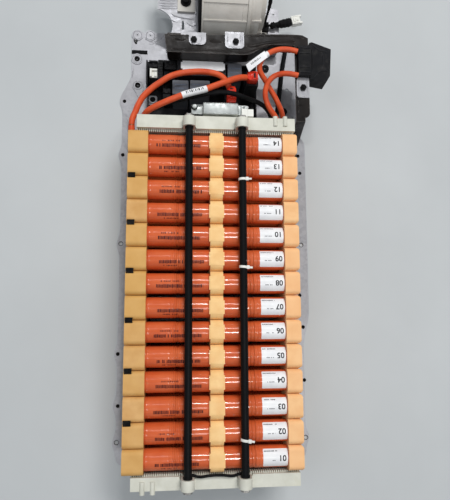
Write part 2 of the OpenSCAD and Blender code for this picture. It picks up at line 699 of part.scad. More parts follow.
module leg_plan() {
    translate([leg_left, leg_bend - 2]) square([leg_waist - leg_left, 452 - leg_bend + 2]);
    translate([leg_left, leg_bend + step_r + 5])
        square([frame_right - leg_left, 452 - leg_bend - step_r - 5]);
    intersection() {
        translate([leg_waist, leg_bend + step_r + 5]) circle(step_r, $fn = 48);
        translate([leg_left, leg_bend]) square([frame_right - leg_left, step_r + 6]);
    }
}

module support_frame() color([0.20, 0.17, 0.16]) {
    t = frame_sheet;
    depth = 26;
    // cross rail, a channel open below
    difference() {
        translate([0, 0, frame_top - depth]) linear_extrude(depth) rail_plan(0);
        translate([0, 0, frame_top - depth - 1]) linear_extrude(depth + 1 - t) rail_plan(t);
        for (p = [tab_1_hole, tab_2_hole]) along_z([p[0], p[1], 90], 7, 40);
    }
    // left leg down to the tray
    block([frame_left, 461, 3.8], [frame_left + 24, 461 + t, frame_top - 1]);
    difference() {
        block([frame_left, 461, sheet + 0.2], [frame_left + 24, 483, 3.9]);
        along_z([-68, 474, 0], 6.6, 8);
    }
    // right leg: flat with a rounded step, then down to a foot under the stack's side
    difference() {
        translate([0, 0, frame_top - t]) linear_extrude(t) leg_plan();
        along_z([tab_3_hole[0], tab_3_hole[1], 90], 7, 40);
    }
    hull() {
        block([leg_left + 1, leg_bend - t, frame_top - t], [leg_waist, leg_bend, frame_top]);
        block([leg_left + 6, foot_y - t, sheet + 0.2], [foot_right, foot_y, 4.4]);
    }
    block([frame_right - t, leg_bend + step_r + 6, frame_top - 14], [frame_right, 452, frame_top - 1]);
    difference() {
        block([leg_left + 6, 268, sheet + 0.2], [leg_waist + 8, foot_y - t + 0.2, 4.4]);
        along_z([foot_bolt[0], foot_bolt[1], 0], 6.6, 8);
    }
}

module socket_plan()
    polygon([[173.4, 384], [203, 379], [210, 391], [213, 441.5], [178, 453.6], [173.4, 452]]);

module plug_socket() color(black) {
    difference() {
        translate([0, 0, 86]) linear_extrude(30) socket_plan();
        block([180, 396, 90], [230, 436, 112]);
    }
    block([151.8, 387.8, frame_top + 0.2], [174, 443, 122]);
    for (y = [404, 422]) block([179, y, 93], [195, y + 5, 109]);
}

// ---- blower --------------------------------------------------------------

module scroll_plan(r, low, high, reach) {
    translate([wheel_y, wheel_z]) circle(r, $fn = 96);
    translate([wheel_y, low]) square([reach - wheel_y, high - low]);
}

module blower_scroll() color(cream) {
    low = wheel_z - scroll_r;
    high = low + 46;
    w = scroll_wall;
    difference() {
        union() {
            run_x(scroll_left, scroll_right - scroll_left) scroll_plan(scroll_r, low, high, duct_end);
            run_x(scroll_left, 3) scroll_plan(scroll_r + 4, low - 1, high + 3, duct_end + 3);
            for (a = [8, 32, 56, 80, 104]) translate([0, wheel_y, wheel_z]) rotate([-a, 0, 0])
                block([scroll_left, -1.1, scroll_r - 1], [scroll_right, 1.1, scroll_r + 1.8]);
            block([-63, 533, 62.4], [scroll_left + 2, 572, 66.4]);
        }
        run_x(scroll_left + w, scroll_right - scroll_left)
            scroll_plan(scroll_r - w, low + w, high - w, duct_end + 10);
        along_x([scroll_left - 10, wheel_y, wheel_z], 88, 30, 96);
        along_z([bush[0], bush[1], 50], 14.2, 30);
    }
}

module blower_wheel() color([0.3, 0.3, 0.32]) translate([0, wheel_y, wheel_z]) {
    left = -13;
    right = 58;
    difference() {
        union() {
            along_x([right - 3, 0, 0], 2 * wheel_r, 3, 72);
            along_x([right - 16, 0, 0], 24, 14, 48);
        }
        along_x([right - 30, 0, 0], 6, 60, 32);
    }
    difference() {
        along_x([left, 0, 0], 2 * wheel_r, 4, 72);
        along_x([left - 1, 0, 0], 2 * wheel_r - 18, 10, 72);
    }
    for (i = [0 : blades - 1]) rotate([360 * i / blades, 0, 0])
        translate([left + 2, -0.8, wheel_r - 9]) rotate([12, 0, 0]) cube([right - left - 3, 1.6, 8]);
    along_x([right - 15.9, 0, 0], 6, 48.9, 32);
}

module blower_motor() color([0.80, 0.78, 0.72]) difference() {
    union() {
        along_x([scroll_right, wheel_y, wheel_z], 2 * scroll_r - 1, 4, 96);
        along_x([scroll_right, wheel_y, wheel_z], 122, 16, 96);
        along_x([scroll_right + 8, wheel_y, wheel_z], 100, motor_right - scroll_right - 8, 96);
        block([motor_right - 12, 500, 30.2], [motor_right + 14, 518, 34.2]);
        block([motor_right - 12, 500, 30.2], [motor_right, 518, 62]);
    }
    along_x([scroll_right - 1, wheel_y, wheel_z], 6.15, motor_right - scroll_right - 4, 32);
    along_z([motor_right + 8, 509, 20], 6.4, 30);
}

// A tab lying on the frame, round at its free corners
module tab_sheet(x, y, w, reach) translate([x, y, frame_top + 0.2]) {
    r = 7;
    linear_extrude(2) union() {
        rounded(w, 2 * r + 4, r);
        translate([0, r]) square([w, reach - y - r]);
    }
}

// Folded sheet that hangs the blower on the cross rail: a web with a window down
// to the tray, two arms up to the tabs on the rail, and the plate under the bush
module blower_bracket() color(zinc) {
    rear = 470.4;
    t = 2;
    shelf = 60;
    difference() {
        block([-78, rear, 3.8], [58, rear + t, shelf + t]);
        block([-44, rear - 1, 12], [40, rear + t + 2, 52]);
        block([-79, rear - 1, 0], [-52, rear + t + 2, 40]);
    }
    block([-52, rear, sheet + 0.2], [50, 488, 4]);
    for (tab = [[-42, 30, 442, 462.4, tab_1_hole], [22, 34, 437.5, 466.4, tab_2_hole]]) {
        block([tab[0], tab[3], shelf], [tab[0] + tab[1], rear + t, shelf + t]);
        block([tab[0], tab[3], shelf], [tab[0] + tab[1], tab[3] + t, frame_top + 2.2]);
        difference() {
            tab_sheet(tab[0], tab[2], tab[1], tab[3] + 1);
            along_z([tab[4][0], tab[4][1], 100], 6.4, 20);
        }
    }
    difference() {
        translate([0, 0, shelf]) linear_extrude(t) difference() {
            translate([-100, rear]) square([76, 126]);
            translate([-106, 505]) circle(34, $fn = 64);
            translate([-110, rear - 1]) square([28, 40]);
            translate([-55, 498]) rounded(4.5, 18, 2.2);
        }
        along_z([bush[0], bush[1], 50], 6.6, 30);
    }
}

// Plate that carries the blower's motor side
module motor_bracket() color(zinc) difference() {
    union() {
        translate([100, 486, 28]) linear_extrude(2) rounded(37, 86, 8);
        block([104, 486, 3.6], [134, 488, 29]);
        block([104, 486, sheet + 0.2], [134, 499, 3.8]);
    }
    along_z([105, 509, 20], 6.4, 20);
    along_z([126, 559, 20], 4, 20);
}

// Tab that ties the service plug socket to the frame's leg
module socket_bracket() color(zinc) difference() {
    translate([149.5, 350, frame_top + 0.2]) linear_extrude(2) union() {
        rounded(16, 37.4, 6);
        translate([7, 0]) square([16, 37.4]);
    }
    along_z([tab_3_hole[0], tab_3_hole[1], 100], 6.4, 20);
}

module blower_fixings() color(black) {
    difference() {
        along_z([bush[0], bush[1], 62.2], 14, 8, 32);
        along_z([bush[0], bush[1], 60], 6.2, 20);
    }
    hex([bush[0], bush[1], 70.4], 10, 4);
    along_z([bush[0], bush[1], 57], 6, 14, 24);
    hex([105, 509, 34.4], 10, 4);
    along_z([105, 509, 26], 6, 9, 24);
    block([99, 519, 30.2], [114.5, 536, 41]);
    for (p = [tab_1_hole, tab_2_hole, tab_3_hole]) {
        hex([p[0], p[1], frame_top + 2.4], 10, 3.5);
        along_z([p[0], p[1], frame_top - 8], 6, 15, 24);
    }
}

module blower_pigtail() color(black) cord(pigtail_route, 2.3, 8, [0, 0, 1]);

module pigtail_sleeve() color(black) {
    difference() {
        translate([119, 530.4, 38]) rotate([0, 90, 12.5]) cylinder(d = 14.6, h = 33, $fn = 32);
        translate([110, 528, 38]) rotate([0, 90, 12.5]) cylinder(d = 4.9, h = 50, $fn = 24);
    }
}

module pigtail_connector() color([0.93, 0.92, 0.88]) translate([160, 540, 39]) rotate([0, 0, 14])
    difference() {
        translate([0, -7.5, -6]) cube([18, 15, 12]);
        translate([11, -5.5, -4]) cube([10, 11, 8]);
    }

// ---- what is drawn -------------------------------------------------------

for (k = [1 : module_count]) module_sticks(k);
left_end_caps();
right_end_caps();
centre_holders();
cells();
cell_links();
busbars();
terminal_nuts();
busbar_clips();
return_bars();
tray();
module_rails();
flange_bolts();
grommets();
end_plate_front();
end_plate_rear();
tie_rods();
rod_sleeves();
rod_nuts();
cable_ties();
junction_box();
relay_covers();
relay_coils();
relay_armature_1();
relay_armature_2();
relay_armature_3();
battery_ecu();
connector_blocks();
precharge_resistor();
resistor_connector();
hv_cable_negative();
hv_cable_positive();
plug_cables();
hv_connectors();
plug_socket();
support_frame();
wire_harness();
blower_scroll();
blower_motor();
blower_wheel();
blower_bracket();
motor_bracket();
socket_bracket();
blower_fixings();
blower_pigtail();
pigtail_sleeve();
pigtail_connector();
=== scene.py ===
"""Looks of a hybrid car's traction battery pack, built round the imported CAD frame.

Lengths are in millimetres in the CAD's frame, and MM turns them into metres. In the
materials and for the lights they are metres.
"""

import json
import math
import random

import bmesh
import bpy
from mathutils import Matrix, Vector
from mathutils.noise import noise


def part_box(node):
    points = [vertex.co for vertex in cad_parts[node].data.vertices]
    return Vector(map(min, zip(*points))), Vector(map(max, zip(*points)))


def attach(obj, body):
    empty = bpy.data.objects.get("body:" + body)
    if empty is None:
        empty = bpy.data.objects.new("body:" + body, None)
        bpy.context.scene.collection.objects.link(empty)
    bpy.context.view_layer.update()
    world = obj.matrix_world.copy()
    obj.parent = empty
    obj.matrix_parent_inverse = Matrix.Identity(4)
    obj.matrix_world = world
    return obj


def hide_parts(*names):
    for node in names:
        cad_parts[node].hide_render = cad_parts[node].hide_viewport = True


MM = 0.001
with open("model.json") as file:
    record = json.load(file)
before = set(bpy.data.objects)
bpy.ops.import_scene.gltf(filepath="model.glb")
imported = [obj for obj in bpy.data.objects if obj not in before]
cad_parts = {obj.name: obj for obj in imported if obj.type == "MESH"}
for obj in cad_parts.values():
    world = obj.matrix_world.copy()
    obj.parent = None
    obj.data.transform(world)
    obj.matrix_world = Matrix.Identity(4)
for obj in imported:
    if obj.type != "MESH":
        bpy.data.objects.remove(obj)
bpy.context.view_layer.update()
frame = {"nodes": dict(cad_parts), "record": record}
scene = bpy.context.scene
NODES = frame["nodes"]

# Pitches and levels of the CAD
MODULE_PITCH = 39.5
CELL_PITCH = 60
FIRST_WAIST = -58
TRAY_TOP = 1.6
RAISED_TRAY_TOP = 3.2
BRACKET_TOP = 62
RELAY_TOP = 75
COMPUTER_TOP = 80
FRAME_TOP = 110
TAB_TOP = 112.2
SOCKET_TOP = 116


# ---- camera --------------------------------------------------------------

CAMERA_AT = Vector((-54.36, -29.09, 927.33)) * MM
CAMERA_RIGHT = Vector((0.995918, -0.005005, 0.090125))
CAMERA_UP = Vector((-0.006534, 0.991844, 0.127287))
FOCAL = 35.38
SENSOR = 36


def make_camera():
    """The camera, almost straight above the pack."""
    data = bpy.data.cameras.new("camera")
    data.sensor_width = SENSOR
    data.lens = FOCAL
    data.clip_start = 0.01
    obj = bpy.data.objects.new("camera", data)
    scene.collection.objects.link(obj)
    back = CAMERA_RIGHT.cross(CAMERA_UP)
    axes = Matrix((CAMERA_RIGHT, CAMERA_UP, back)).transposed().to_4x4()
    obj.matrix_world = Matrix.Translation(CAMERA_AT) @ axes
    scene.camera = obj


make_camera()


# ---- routes of the cords, as in the CAD ----------------------------------

NEGATIVE_ROUTE = [
    (-139.2, 290, 110.5), (-138.2, 302, 109.6), (-133.5, 316, 107), (-129, 330, 104.5), (-120.5, 347, 102),
    (-106, 363.3, 100.5), (-92.4, 374.3, 100), (-76.5, 385.3, 100), (-58, 392.6, 100), (-40, 395.8, 100),
    (-22, 397.5, 100), (-4, 396.6, 100), (10, 393.3, 100), (20, 387.4, 99), (27, 378, 98), (31, 369.5, 97)]
POSITIVE_ROUTE = [
    (-122, 314, 24), (-122, 313.5, 44), (-122, 313, 64), (-121.5, 313, 82), (-119, 314, 98), (-112, 317, 110),
    (-100, 322, 117), (-84, 328.8, 120.5), (-67, 336.3, 121.5), (-49, 344, 121.5), (-31, 349.6, 121.5),
    (-14, 354.6, 121.5), (4, 362.3, 121), (22, 370.4, 119.5), (38, 378.6, 115), (51, 385.5, 107.5),
    (64.5, 390, 99)]
PLUG_ROUTE_1 = [
    (151.6, 433.5, 117.2), (140, 436.5, 116.5), (129, 437.5, 116), (117.5, 436.5, 115.5), (105.5, 432.5, 115),
    (95.5, 426.5, 114), (88, 419, 112), (84.5, 411, 108), (85, 403, 103), (90, 396.5, 97.5), (97, 389, 92),
    (103.5, 379.5, 88.5), (109.5, 370.5, 86.5), (115.5, 361, 85), (122, 350.5, 81), (129, 341, 73),
    (134.5, 331.5, 60), (137, 323.5, 43), (137, 320, 23)]
PLUG_ROUTE_2 = [
    (151.6, 388.5, 117.4), (140, 391, 116.5), (129, 392.5, 114.5), (119.5, 392.8, 111), (110.5, 390.3, 107.5),
    (103, 384.5, 105), (98, 376, 103), (95, 365, 101), (95.5, 353.5, 99), (99.5, 342.5, 96), (106, 333, 92),
    (114, 325, 86.5), (120.5, 317.5, 78), (124.5, 312.5, 65), (126, 310.2, 47), (126, 310.2, 27)]
HARNESS_ROUTE = [
    (-125, 332, 14), (-125, 332, 34), (-123, 332, 54), (-116, 332, 70), (-102, 334, 82), (-84, 338.5, 91),
    (-62, 343, 99), (-39, 347, 106), (-17, 350.5, 111), (4, 353, 113.5), (22, 353, 115), (39, 350.5, 115.5),
    (54, 348, 112), (68, 346, 105), (82, 345, 96), (96, 342, 84), (107, 338, 70), (113, 335, 52),
    (114, 335, 30), (114, 335, 14)]
DUCT_WIRE_ROUTE = [
    (153, 492, 7), (149, 470, 7), (145, 445, 7), (142, 420, 7), (139, 395, 7), (136, 372, 7), (131.5, 353, 7),
    (127.5, 342, 7), (121.2, 335, 7)]
FRONT_WIRE_ROUTE = [
    (-39, -277.4, 128.6), (-33, -277.4, 129), (-26, -279.4, 129.6), (-19, -279.6, 130.4), (-9, -278, 131.6),
    (3, -277.4, 132), (15, -278, 131.6), (25, -279.6, 130.4), (32, -279.4, 129.6), (39, -277.4, 129),
    (45, -277.4, 128.6)]
PIGTAIL_ROUTE = [
    (97, 556, 106), (103, 555, 105.5), (107.5, 551, 101), (109, 546, 93), (108.5, 540, 83), (107, 534, 71),
    (106, 530, 59), (107, 528.5, 48), (112, 529, 40.5), (120, 530.5, 38), (130, 532.5, 37.5),
    (140, 534.5, 38), (150, 537, 38.5), (160, 540, 39)]


# ---- node helpers --------------------------------------------------------

def srgb(r, g, b):
    """A colour given as 0-255 values becomes linear."""
    def linear(v):
        v /= 255
        return v / 12.92 if v <= 0.04045 else ((v + 0.055) / 1.055) ** 2.4
    return (linear(r), linear(g), linear(b), 1.0)


class Shader:
    """Builds one material's node tree around a Principled shader."""

    def __init__(self, name, rough, metallic=0.0, **fixed):
        self.material = bpy.data.materials.new(name)
        self.material.use_nodes = True
        self.tree = self.material.node_tree
        self.bsdf = self.tree.nodes["Principled BSDF"]
        self.bsdf.inputs["Roughness"].default_value = rough
        self.bsdf.inputs["Metallic"].default_value = metallic
        for key, value in fixed.items():
            self.bsdf.inputs[key.replace("_", " ")].default_value = value
        self.place = self.node("TexCoord").outputs["Object"]
        self.heights = []

    def node(self, kind, **props):
        """A new shader node with its properties set."""
        made = self.tree.nodes.new("ShaderNode" + kind)
        for key, value in props.items():
            setattr(made, key, value)
        return made

    def feed(self, socket, value):
        """Sets an input to a number or colour, or links it to another node's output."""
        if isinstance(value, (int, float, tuple)):
            socket.default_value = value
        else:
            self.tree.links.new(value, socket)

    def noise(self, scale, detail=3.0, rough=0.55, stretch=(1, 1, 1)):
        """Fractal noise; a stretch below 1 draws it out along that axis."""
        mapping = self.node("Mapping")
        self.feed(mapping.inputs["Vector"], self.place)
        self.feed(mapping.inputs["Scale"], stretch)
        made = self.node("TexNoise")
        self.feed(made.inputs["Vector"], mapping.outputs["Vector"])
        for name, value in (("Scale", scale), ("Detail", detail), ("Roughness", rough)):
            self.feed(made.inputs[name], value)
        return made.outputs["Fac"]

    def cells(self, scale):
        """One random tone for each cell of a Voronoi pattern."""
        made = self.node("TexVoronoi")
        self.feed(made.inputs["Vector"], self.place)
        self.feed(made.inputs["Scale"], scale)
        split = self.node("SeparateColor")
        self.feed(split.inputs[0], made.outputs["Color"])
        return split.outputs[0]

    def spread(self, value, low, high, to_low=0.0, to_high=1.0):
        """Maps the low-high part of a value to another range, clamped."""
        made = self.node("MapRange", clamp=True)
        for name, given in (("Value", value), ("From Min", low), ("From Max", high), ("To Min", to_low),
                            ("To Max", to_high)):
            self.feed(made.inputs[name], given)
        return made.outputs["Result"]

    def clouds(self, scale, detail, low=0.3, high=0.7, to_low=0.0, to_high=1.0, rough=0.55):
        """Noise whose low-high part is spread over a range."""
        return self.spread(self.noise(scale, detail, rough), low, high, to_low, to_high)

    def maths(self, operation, a, b=0):
        """One step of arithmetic on two values, or on the first alone."""
        made = self.node("Math", operation=operation)
        self.feed(made.inputs[0], a)
        self.feed(made.inputs[1], b)
        return made.outputs[0]

    def mix(self, factor, a, b):
        """Colour a at factor 0 and colour b at factor 1."""
        made = self.node("Mix", data_type="RGBA")
        for name, value in (("Factor", factor), ("A", a), ("B", b)):
            self.feed(made.inputs[name], value)
        return made.outputs["Result"]

    def tint(self, colour, mask, share, other):
        """Brings a share of another colour in where the mask is 1."""
        return self.mix(self.maths("MULTIPLY", mask, share), colour, other)

    def edges(self, radius):
        """1 on convex edges and 0 on flats, from rounded normals."""
        bevel = self.node("Bevel", samples=4)
        self.feed(bevel.inputs["Radius"], radius)
        dot = self.node("VectorMath", operation="DOT_PRODUCT")
        self.feed(dot.inputs[0], bevel.outputs["Normal"])
        self.feed(dot.inputs[1], self.node("NewGeometry").outputs["Normal"])
        return self.spread(dot.outputs["Value"], 1 - 1 / 6, 1.0, 1.0, 0.0)

    def axis(self, vector, name):
        """One axis of a vector."""
        split = self.node("SeparateXYZ")
        self.feed(split.inputs[0], vector)
        return split.outputs[name]

    def upward(self):
        """1 where the surface looks up, 0 where it looks sideways or down."""
        normal = self.node("NewGeometry").outputs["Normal"]
        return self.spread(self.axis(normal, "Z"), 0.2, 0.9)

    def bump(self, height, distance):
        """Adds a relief, to be chained by finish."""
        self.heights.append((height, distance))

    def rough(self, value):
        """Links the roughness."""
        self.feed(self.bsdf.inputs["Roughness"], value)

    def finish(self, colour):
        """Links the colour and the chain of reliefs, and gives the material."""
        self.feed(self.bsdf.inputs["Base Color"], colour)
        normal = None
        for height, distance in self.heights:
            made = self.node("Bump")
            self.feed(made.inputs["Distance"], distance)
            self.feed(made.inputs["Strength"], 1.0)
            self.feed(made.inputs["Height"], height)
            if normal:
                self.feed(made.inputs["Normal"], normal)
            normal = made.outputs["Normal"]
        if normal:
            self.feed(self.bsdf.inputs["Normal"], normal)
        return self.material


# ---- materials -----------------------------------------------------------

CREASE_PITCH = 6.2


def waist_creases(look):
    """Creases across a stick where the film has drawn in between two cells."""
    x = look.axis(look.place, "X")
    from_first = look.maths("SUBTRACT", x, (FIRST_WAIST - CELL_PITCH / 2) * MM)
    turns = look.maths("DIVIDE", from_first, CELL_PITCH * MM)
    off = look.maths("ABSOLUTE", look.maths("SUBTRACT", look.maths("FRACT", turns), 0.5))
    near = look.spread(off, 0.07, 0.24, 1.0, 0.0)
    wobble = look.maths("MULTIPLY", look.noise(60, 2), 0.004)
    phase = look.maths("MULTIPLY", look.maths("ADD", x, wobble), math.tau / (CREASE_PITCH * MM))
    return look.maths("MULTIPLY", look.maths("SINE", phase), near)


def shrink_film():
    """Glossy orange heat-shrink film with fine wrinkles along the stick."""
    look = Shader("shrink_film", 0.2, Coat_Weight=0.4, Coat_Roughness=0.08)
    colour = look.mix(look.clouds(34, 4), srgb(203, 88, 44), srgb(215, 104, 58))
    streaks = look.noise(900, 2, stretch=(0.03, 1, 1))
    colour = look.tint(colour, look.spread(streaks, 0.52, 0.75), 0.35, srgb(172, 56, 24))
    look.bump(look.noise(420, 3, stretch=(0.08, 1, 1)), 0.00014)
    look.bump(look.noise(50, 2), 0.0003)
    look.bump(waist_creases(look), 0.0007)
    look.rough(look.clouds(160, 3, 0.3, 0.8, 0.13, 0.26))
    return look.finish(colour)


def moulded(name, light, dark, stain, rough=0.5, module_tint=0.0):
    """Matte moulded plastic: slow mottling, faint stains and a fine grain. With the last argument set, each
    module along the pack gets a random tint of its own."""
    look = Shader(name, rough)
    stain = srgb(*stain)
    colour = look.mix(look.clouds(45, 5, 0.32, 0.68), srgb(*dark), srgb(*light))
    if module_tint:
        module = look.maths("FLOOR", look.maths("DIVIDE", look.axis(look.place, "Y"), MODULE_PITCH * MM))
        draw = look.node("TexWhiteNoise", noise_dimensions="1D")
        look.feed(draw.inputs["W"], look.maths("ADD", module, 0.5))
        colour = look.tint(colour, draw.outputs["Value"], module_tint, stain)
    colour = look.tint(colour, look.clouds(13, 6, 0.56, 0.8, rough=0.7), 0.5, stain)
    look.bump(look.noise(2400, 2), 0.00003)
    look.bump(look.noise(60, 2), 0.0004)
    look.rough(look.clouds(90, 4, 0.3, 0.7, rough - 0.07, rough + 0.1))
    return look.finish(colour)


def galvanised():
    """Zinc-coated sheet: spangle, slow clouding and drawing marks."""
    look = Shader("galvanised", 0.42, metallic=0.55)
    spangle = look.cells(210)
    colour = look.mix(spangle, srgb(176, 176, 181), srgb(190, 190, 194))
    colour = look.tint(colour, look.clouds(9, 6, 0.45, 0.75, rough=0.65), 0.45, srgb(146, 145, 147))
    look.bump(look.noise(900, 3, stretch=(1, 0.05, 1)), 0.00002)
    look.bump(look.noise(40, 2), 0.0004)
    worn = look.clouds(30, 4, 0.3, 0.7, 0.3, 0.42)
    look.rough(look.maths("ADD", look.maths("MULTIPLY", spangle, 0.12), worn))
    return look.finish(colour)


def dark_paint():
    """Satin brown-black paint with orange peel, dust on top and worn edges."""
    look = Shader("dark_paint", 0.4, Specular_IOR_Level=0.22)
    colour = look.mix(look.clouds(18, 4, 0.35), srgb(13, 10, 9), srgb(22, 18, 16))
    dust = look.maths("MULTIPLY", look.upward(), look.clouds(24, 6, 0.42, 0.72, 0.0, 0.1, rough=0.7))
    colour = look.mix(dust, colour, srgb(96, 84, 78))
    colour = look.tint(colour, look.edges(0.0012), 0.45, srgb(150, 142, 136))
    look.bump(look.noise(1100, 2), 0.00004)
    look.bump(look.noise(55, 2), 0.0005)
    look.rough(look.clouds(70, 5, 0.3, 0.7, 0.26, 0.46))
    return look.finish(colour)


def dark_plastic(name, low, high, rough, edge=0.35):
    """Black or grey engineering plastic with dust and lighter edges."""
    look = Shader(name, rough, Specular_IOR_Level=0.3)
    colour = look.mix(look.clouds(30, 5, 0.35), srgb(*low), srgb(*high))
    dust = look.maths("MULTIPLY", look.upward(), look.clouds(55, 6, 0.5, 0.78, 0.0, 0.14, rough=0.75))
    colour = look.mix(dust, colour, srgb(120, 116, 110))
    colour = look.tint(colour, look.edges(0.0008), edge, srgb(112, 112, 116))
    look.bump(look.noise(2100, 2), 0.00004)
    look.rough(look.clouds(120, 4, 0.3, 0.7, rough - 0.08, rough + 0.12))
    return look.finish(colour)


def rubber():
    """Black rubber and tape, almost without gloss."""
    look = Shader("rubber", 0.55, Specular_IOR_Level=0.2)
    colour = look.mix(look.clouds(60, 4, 0.35), srgb(8, 8, 9), srgb(20, 20, 22))
    look.bump(look.noise(1500, 3), 0.00006)
    look.rough(look.clouds(140, 4, 0.3, 0.7, 0.5, 0.7))
    return look.finish(colour)


def sleeve_black():
    """Matte black tube over a tie rod, with faint scuffs along it."""
    look = Shader("sleeve_black", 0.5, Specular_IOR_Level=0.2)
    scuffs = look.noise(700, 3, stretch=(1, 0.03, 1))
    colour = look.mix(look.spread(scuffs, 0.6, 0.85, 0, 0.3), srgb(9, 9, 11), srgb(40, 40, 44))
    look.bump(scuffs, 0.00005)
    look.bump(look.noise(120, 2), 0.0003)
    look.rough(look.spread(look.noise(60, 4, stretch=(1, 0.2, 1)), 0.3, 0.7, 0.45, 0.62))
    return look.finish(colour)


def cable_jacket():
    """Orange cable jacket: extruded rubber with a slow tone change and fine lay marks."""
    look = Shader("orange_cable", 0.42)
    colour = look.mix(look.clouds(50, 4, 0.35, 0.68), srgb(196, 70, 32), srgb(216, 90, 46))
    colour = look.tint(colour, look.clouds(24, 6, 0.55, 0.8, rough=0.7), 0.4, srgb(176, 66, 40))
    look.bump(look.noise(800, 3), 0.00008)
    look.rough(look.clouds(150, 4, 0.3, 0.7, 0.34, 0.52))
    return look.finish(colour)


def plated(name, light, dark, rough, brushed=(1, 1, 1)):
    """Plated or bare metal of small parts."""
    look = Shader(name, rough, metallic=1.0)
    colour = look.mix(look.clouds(120, 4), srgb(*dark), srgb(*light))
    look.bump(look.noise(1600, 3, stretch=brushed), 0.00003)
    look.rough(look.clouds(200, 4, 0.3, 0.7, rough - 0.08, rough + 0.14))
    return look.finish(colour)


def paper(name, light, dark, rough=0.6, coat=0.0):
    """The ink of a print or, with a coat, a printed film label."""
    look = Shader(name, rough, Coat_Weight=coat, Coat_Roughness=0.1)
    colour = look.mix(look.clouds(90, 4), srgb(*dark), srgb(*light))
    look.bump(look.noise(160, 2), 0.0001)
    return look.finish(colour)


# For each kind of material: the name of each, its colours, its roughness and what else the
# kind takes
KINDS = {
    moulded: {
        "peach_left": ((216, 170, 110), (200, 150, 88), (206, 160, 84), 0.5, 0.6),
        "peach_centre": ((247, 207, 146), (236, 188, 124), (226, 150, 84)),
        "peach_right": ((244, 197, 143), (234, 180, 124), (240, 180, 128), 0.5, 0.4),
        "ivory_plastic": ((214, 214, 203), (198, 198, 186), (180, 176, 140)),
        "cream_plastic": ((210, 206, 199), (198, 194, 186), (168, 164, 150), 0.42),
        # Lighter copy of the cream plastic: painted light on the scroll's downward-facing recess
        "cream_recess_painted_light": ((226, 223, 216), (214, 210, 202), (190, 186, 172)),
        "white_plastic": ((236, 236, 230), (224, 224, 218), (210, 206, 194), 0.42),
        "red_plastic": ((220, 56, 28), (200, 42, 18), (182, 38, 20), 0.3)},
    dark_plastic: {
        "black_plastic": ((13, 13, 16), (25, 25, 29), 0.5),
        "socket_black": ((9, 9, 11), (20, 20, 24), 0.6, 0.18),
        "deep_black": ((3, 3, 4), (8, 8, 9), 0.8, 0.02),
        "relay_plastic": ((80, 84, 92), (102, 106, 114), 0.4)},
    plated: {
        "steel": ((180, 178, 172), (140, 138, 136), 0.34),
        "dark_steel": ((52, 50, 50), (28, 27, 28), 0.5),
        "copper": ((214, 140, 100), (176, 104, 70), 0.34, (1, 0.05, 1)),
        "cast_aluminium": ((232, 236, 233), (212, 217, 214), 0.42, (0.05, 1, 1))},
    paper: {
        "label_white": ((240, 241, 242), (229, 230, 233), 0.35, 0.3),
        "label_ink": ((38, 38, 42), (20, 20, 24)),
        "label_grey": ((104, 104, 110), (80, 80, 86)),
        "film_ink": ((96, 26, 16), (64, 14, 10)),
        "relay_ink": ((112, 122, 140), (92, 102, 120))}}
MATERIALS = {name: kind(name, *values) for kind, rows in KINDS.items() for name, values in rows.items()}
MATERIALS.update(shrink_sleeve=shrink_film(), galvanised=galvanised(), dark_paint=dark_paint(),
                 orange_cable=cable_jacket(), black_rubber=rubber(), sleeve_black=sleeve_black())

# Nodes whose look isn't that of their slot
OWN_LOOK = {
    "left_end_caps": "peach_left", "centre_holders": "peach_centre", "right_end_caps": "peach_right",
    "rod_sleeves": "sleeve_black", "busbar_clips": "deep_black", "flange_bolts": "dark_steel",
    "plug_socket": "socket_black"}
# Nodes whose edges are rounded in the render, with the width in millimetres
ROUNDED = {
    "left_end_caps": 2.6, "right_end_caps": 2.2, "centre_holders": 1.2, "end_plate_front": 0.9,
    "end_plate_rear": 0.9, "support_frame": 1.0, "plug_socket": 1.6, "battery_ecu": 1.2,
    "relay_covers": 0.9, "resistor_connector": 0.7, "blower_motor": 1.0, "connector_blocks": 0.7,
    "junction_box": 0.6}


def dress_frame():
    """Gives every CAD node its finished material, and some of them rounded edges."""
    slots = {part["node"]: part["material_slot"] for part in frame["record"]["subparts"]}
    for name, obj in NODES.items():
        obj.data.materials.clear()
        obj.data.materials.append(MATERIALS[OWN_LOOK.get(name, slots[name])])
        if name in ROUNDED:
            weld = obj.modifiers.new("weld", "WELD")
            weld.merge_threshold = 0.02 * MM
            bevel = obj.modifiers.new("bevel", "BEVEL")
            bevel.width = ROUNDED[name] * MM
            bevel.segments = 3
            bevel.limit_method = "ANGLE"
            bevel.angle_limit = math.radians(40)
            bevel.use_clamp_overlap = True


dress_frame()


# ---- light and floor -----------------------------------------------------

# Name, place, aim, size, watts, colour, and whether gloss reflects it
LIGHTS = (
    ("key", (0.9, 1.5, 2.9), (0, 0.1, 0), (1.2, 0.9), 56, (1, 0.98, 0.95), False),
    ("fill", (-1.5, 0.3, 2.6), (0, 0.1, 0), (1.2, 1.2), 12, (0.92, 0.96, 1), False),
    ("streak_far", (0.30, 3.05, 4.1), (0, 0.1, 0.1), (0.48, 0.12), 34, (1, 1, 1), True),
    ("streak_near", (0.27, -0.45, 2.4), (0, 0, 0.1), (0.30, 0.07), 9, (1, 1, 1), True))
SKY_COLOUR = (0.82, 0.86, 0.9, 1)
SKY_STRENGTH = 0.32
FLOOR_REACH = 6.0
FLOOR_LEVEL = -0.0005


def area_light(name, place, aim, size, watts, colour, reflected):
    """A rectangular light turned towards a point."""
    data = bpy.data.lights.new(name, "AREA")
    data.shape = "RECTANGLE"
    data.size, data.size_y = size
    data.energy = watts
    data.color = colour
    obj = bpy.data.objects.new(name, data)
    scene.collection.objects.link(obj)
    obj.location = place
    obj.rotation_mode = "QUATERNION"
    obj.rotation_quaternion = (Vector(aim) - Vector(place)).to_track_quat("-Z", "Y")
    obj.visible_glossy = reflected


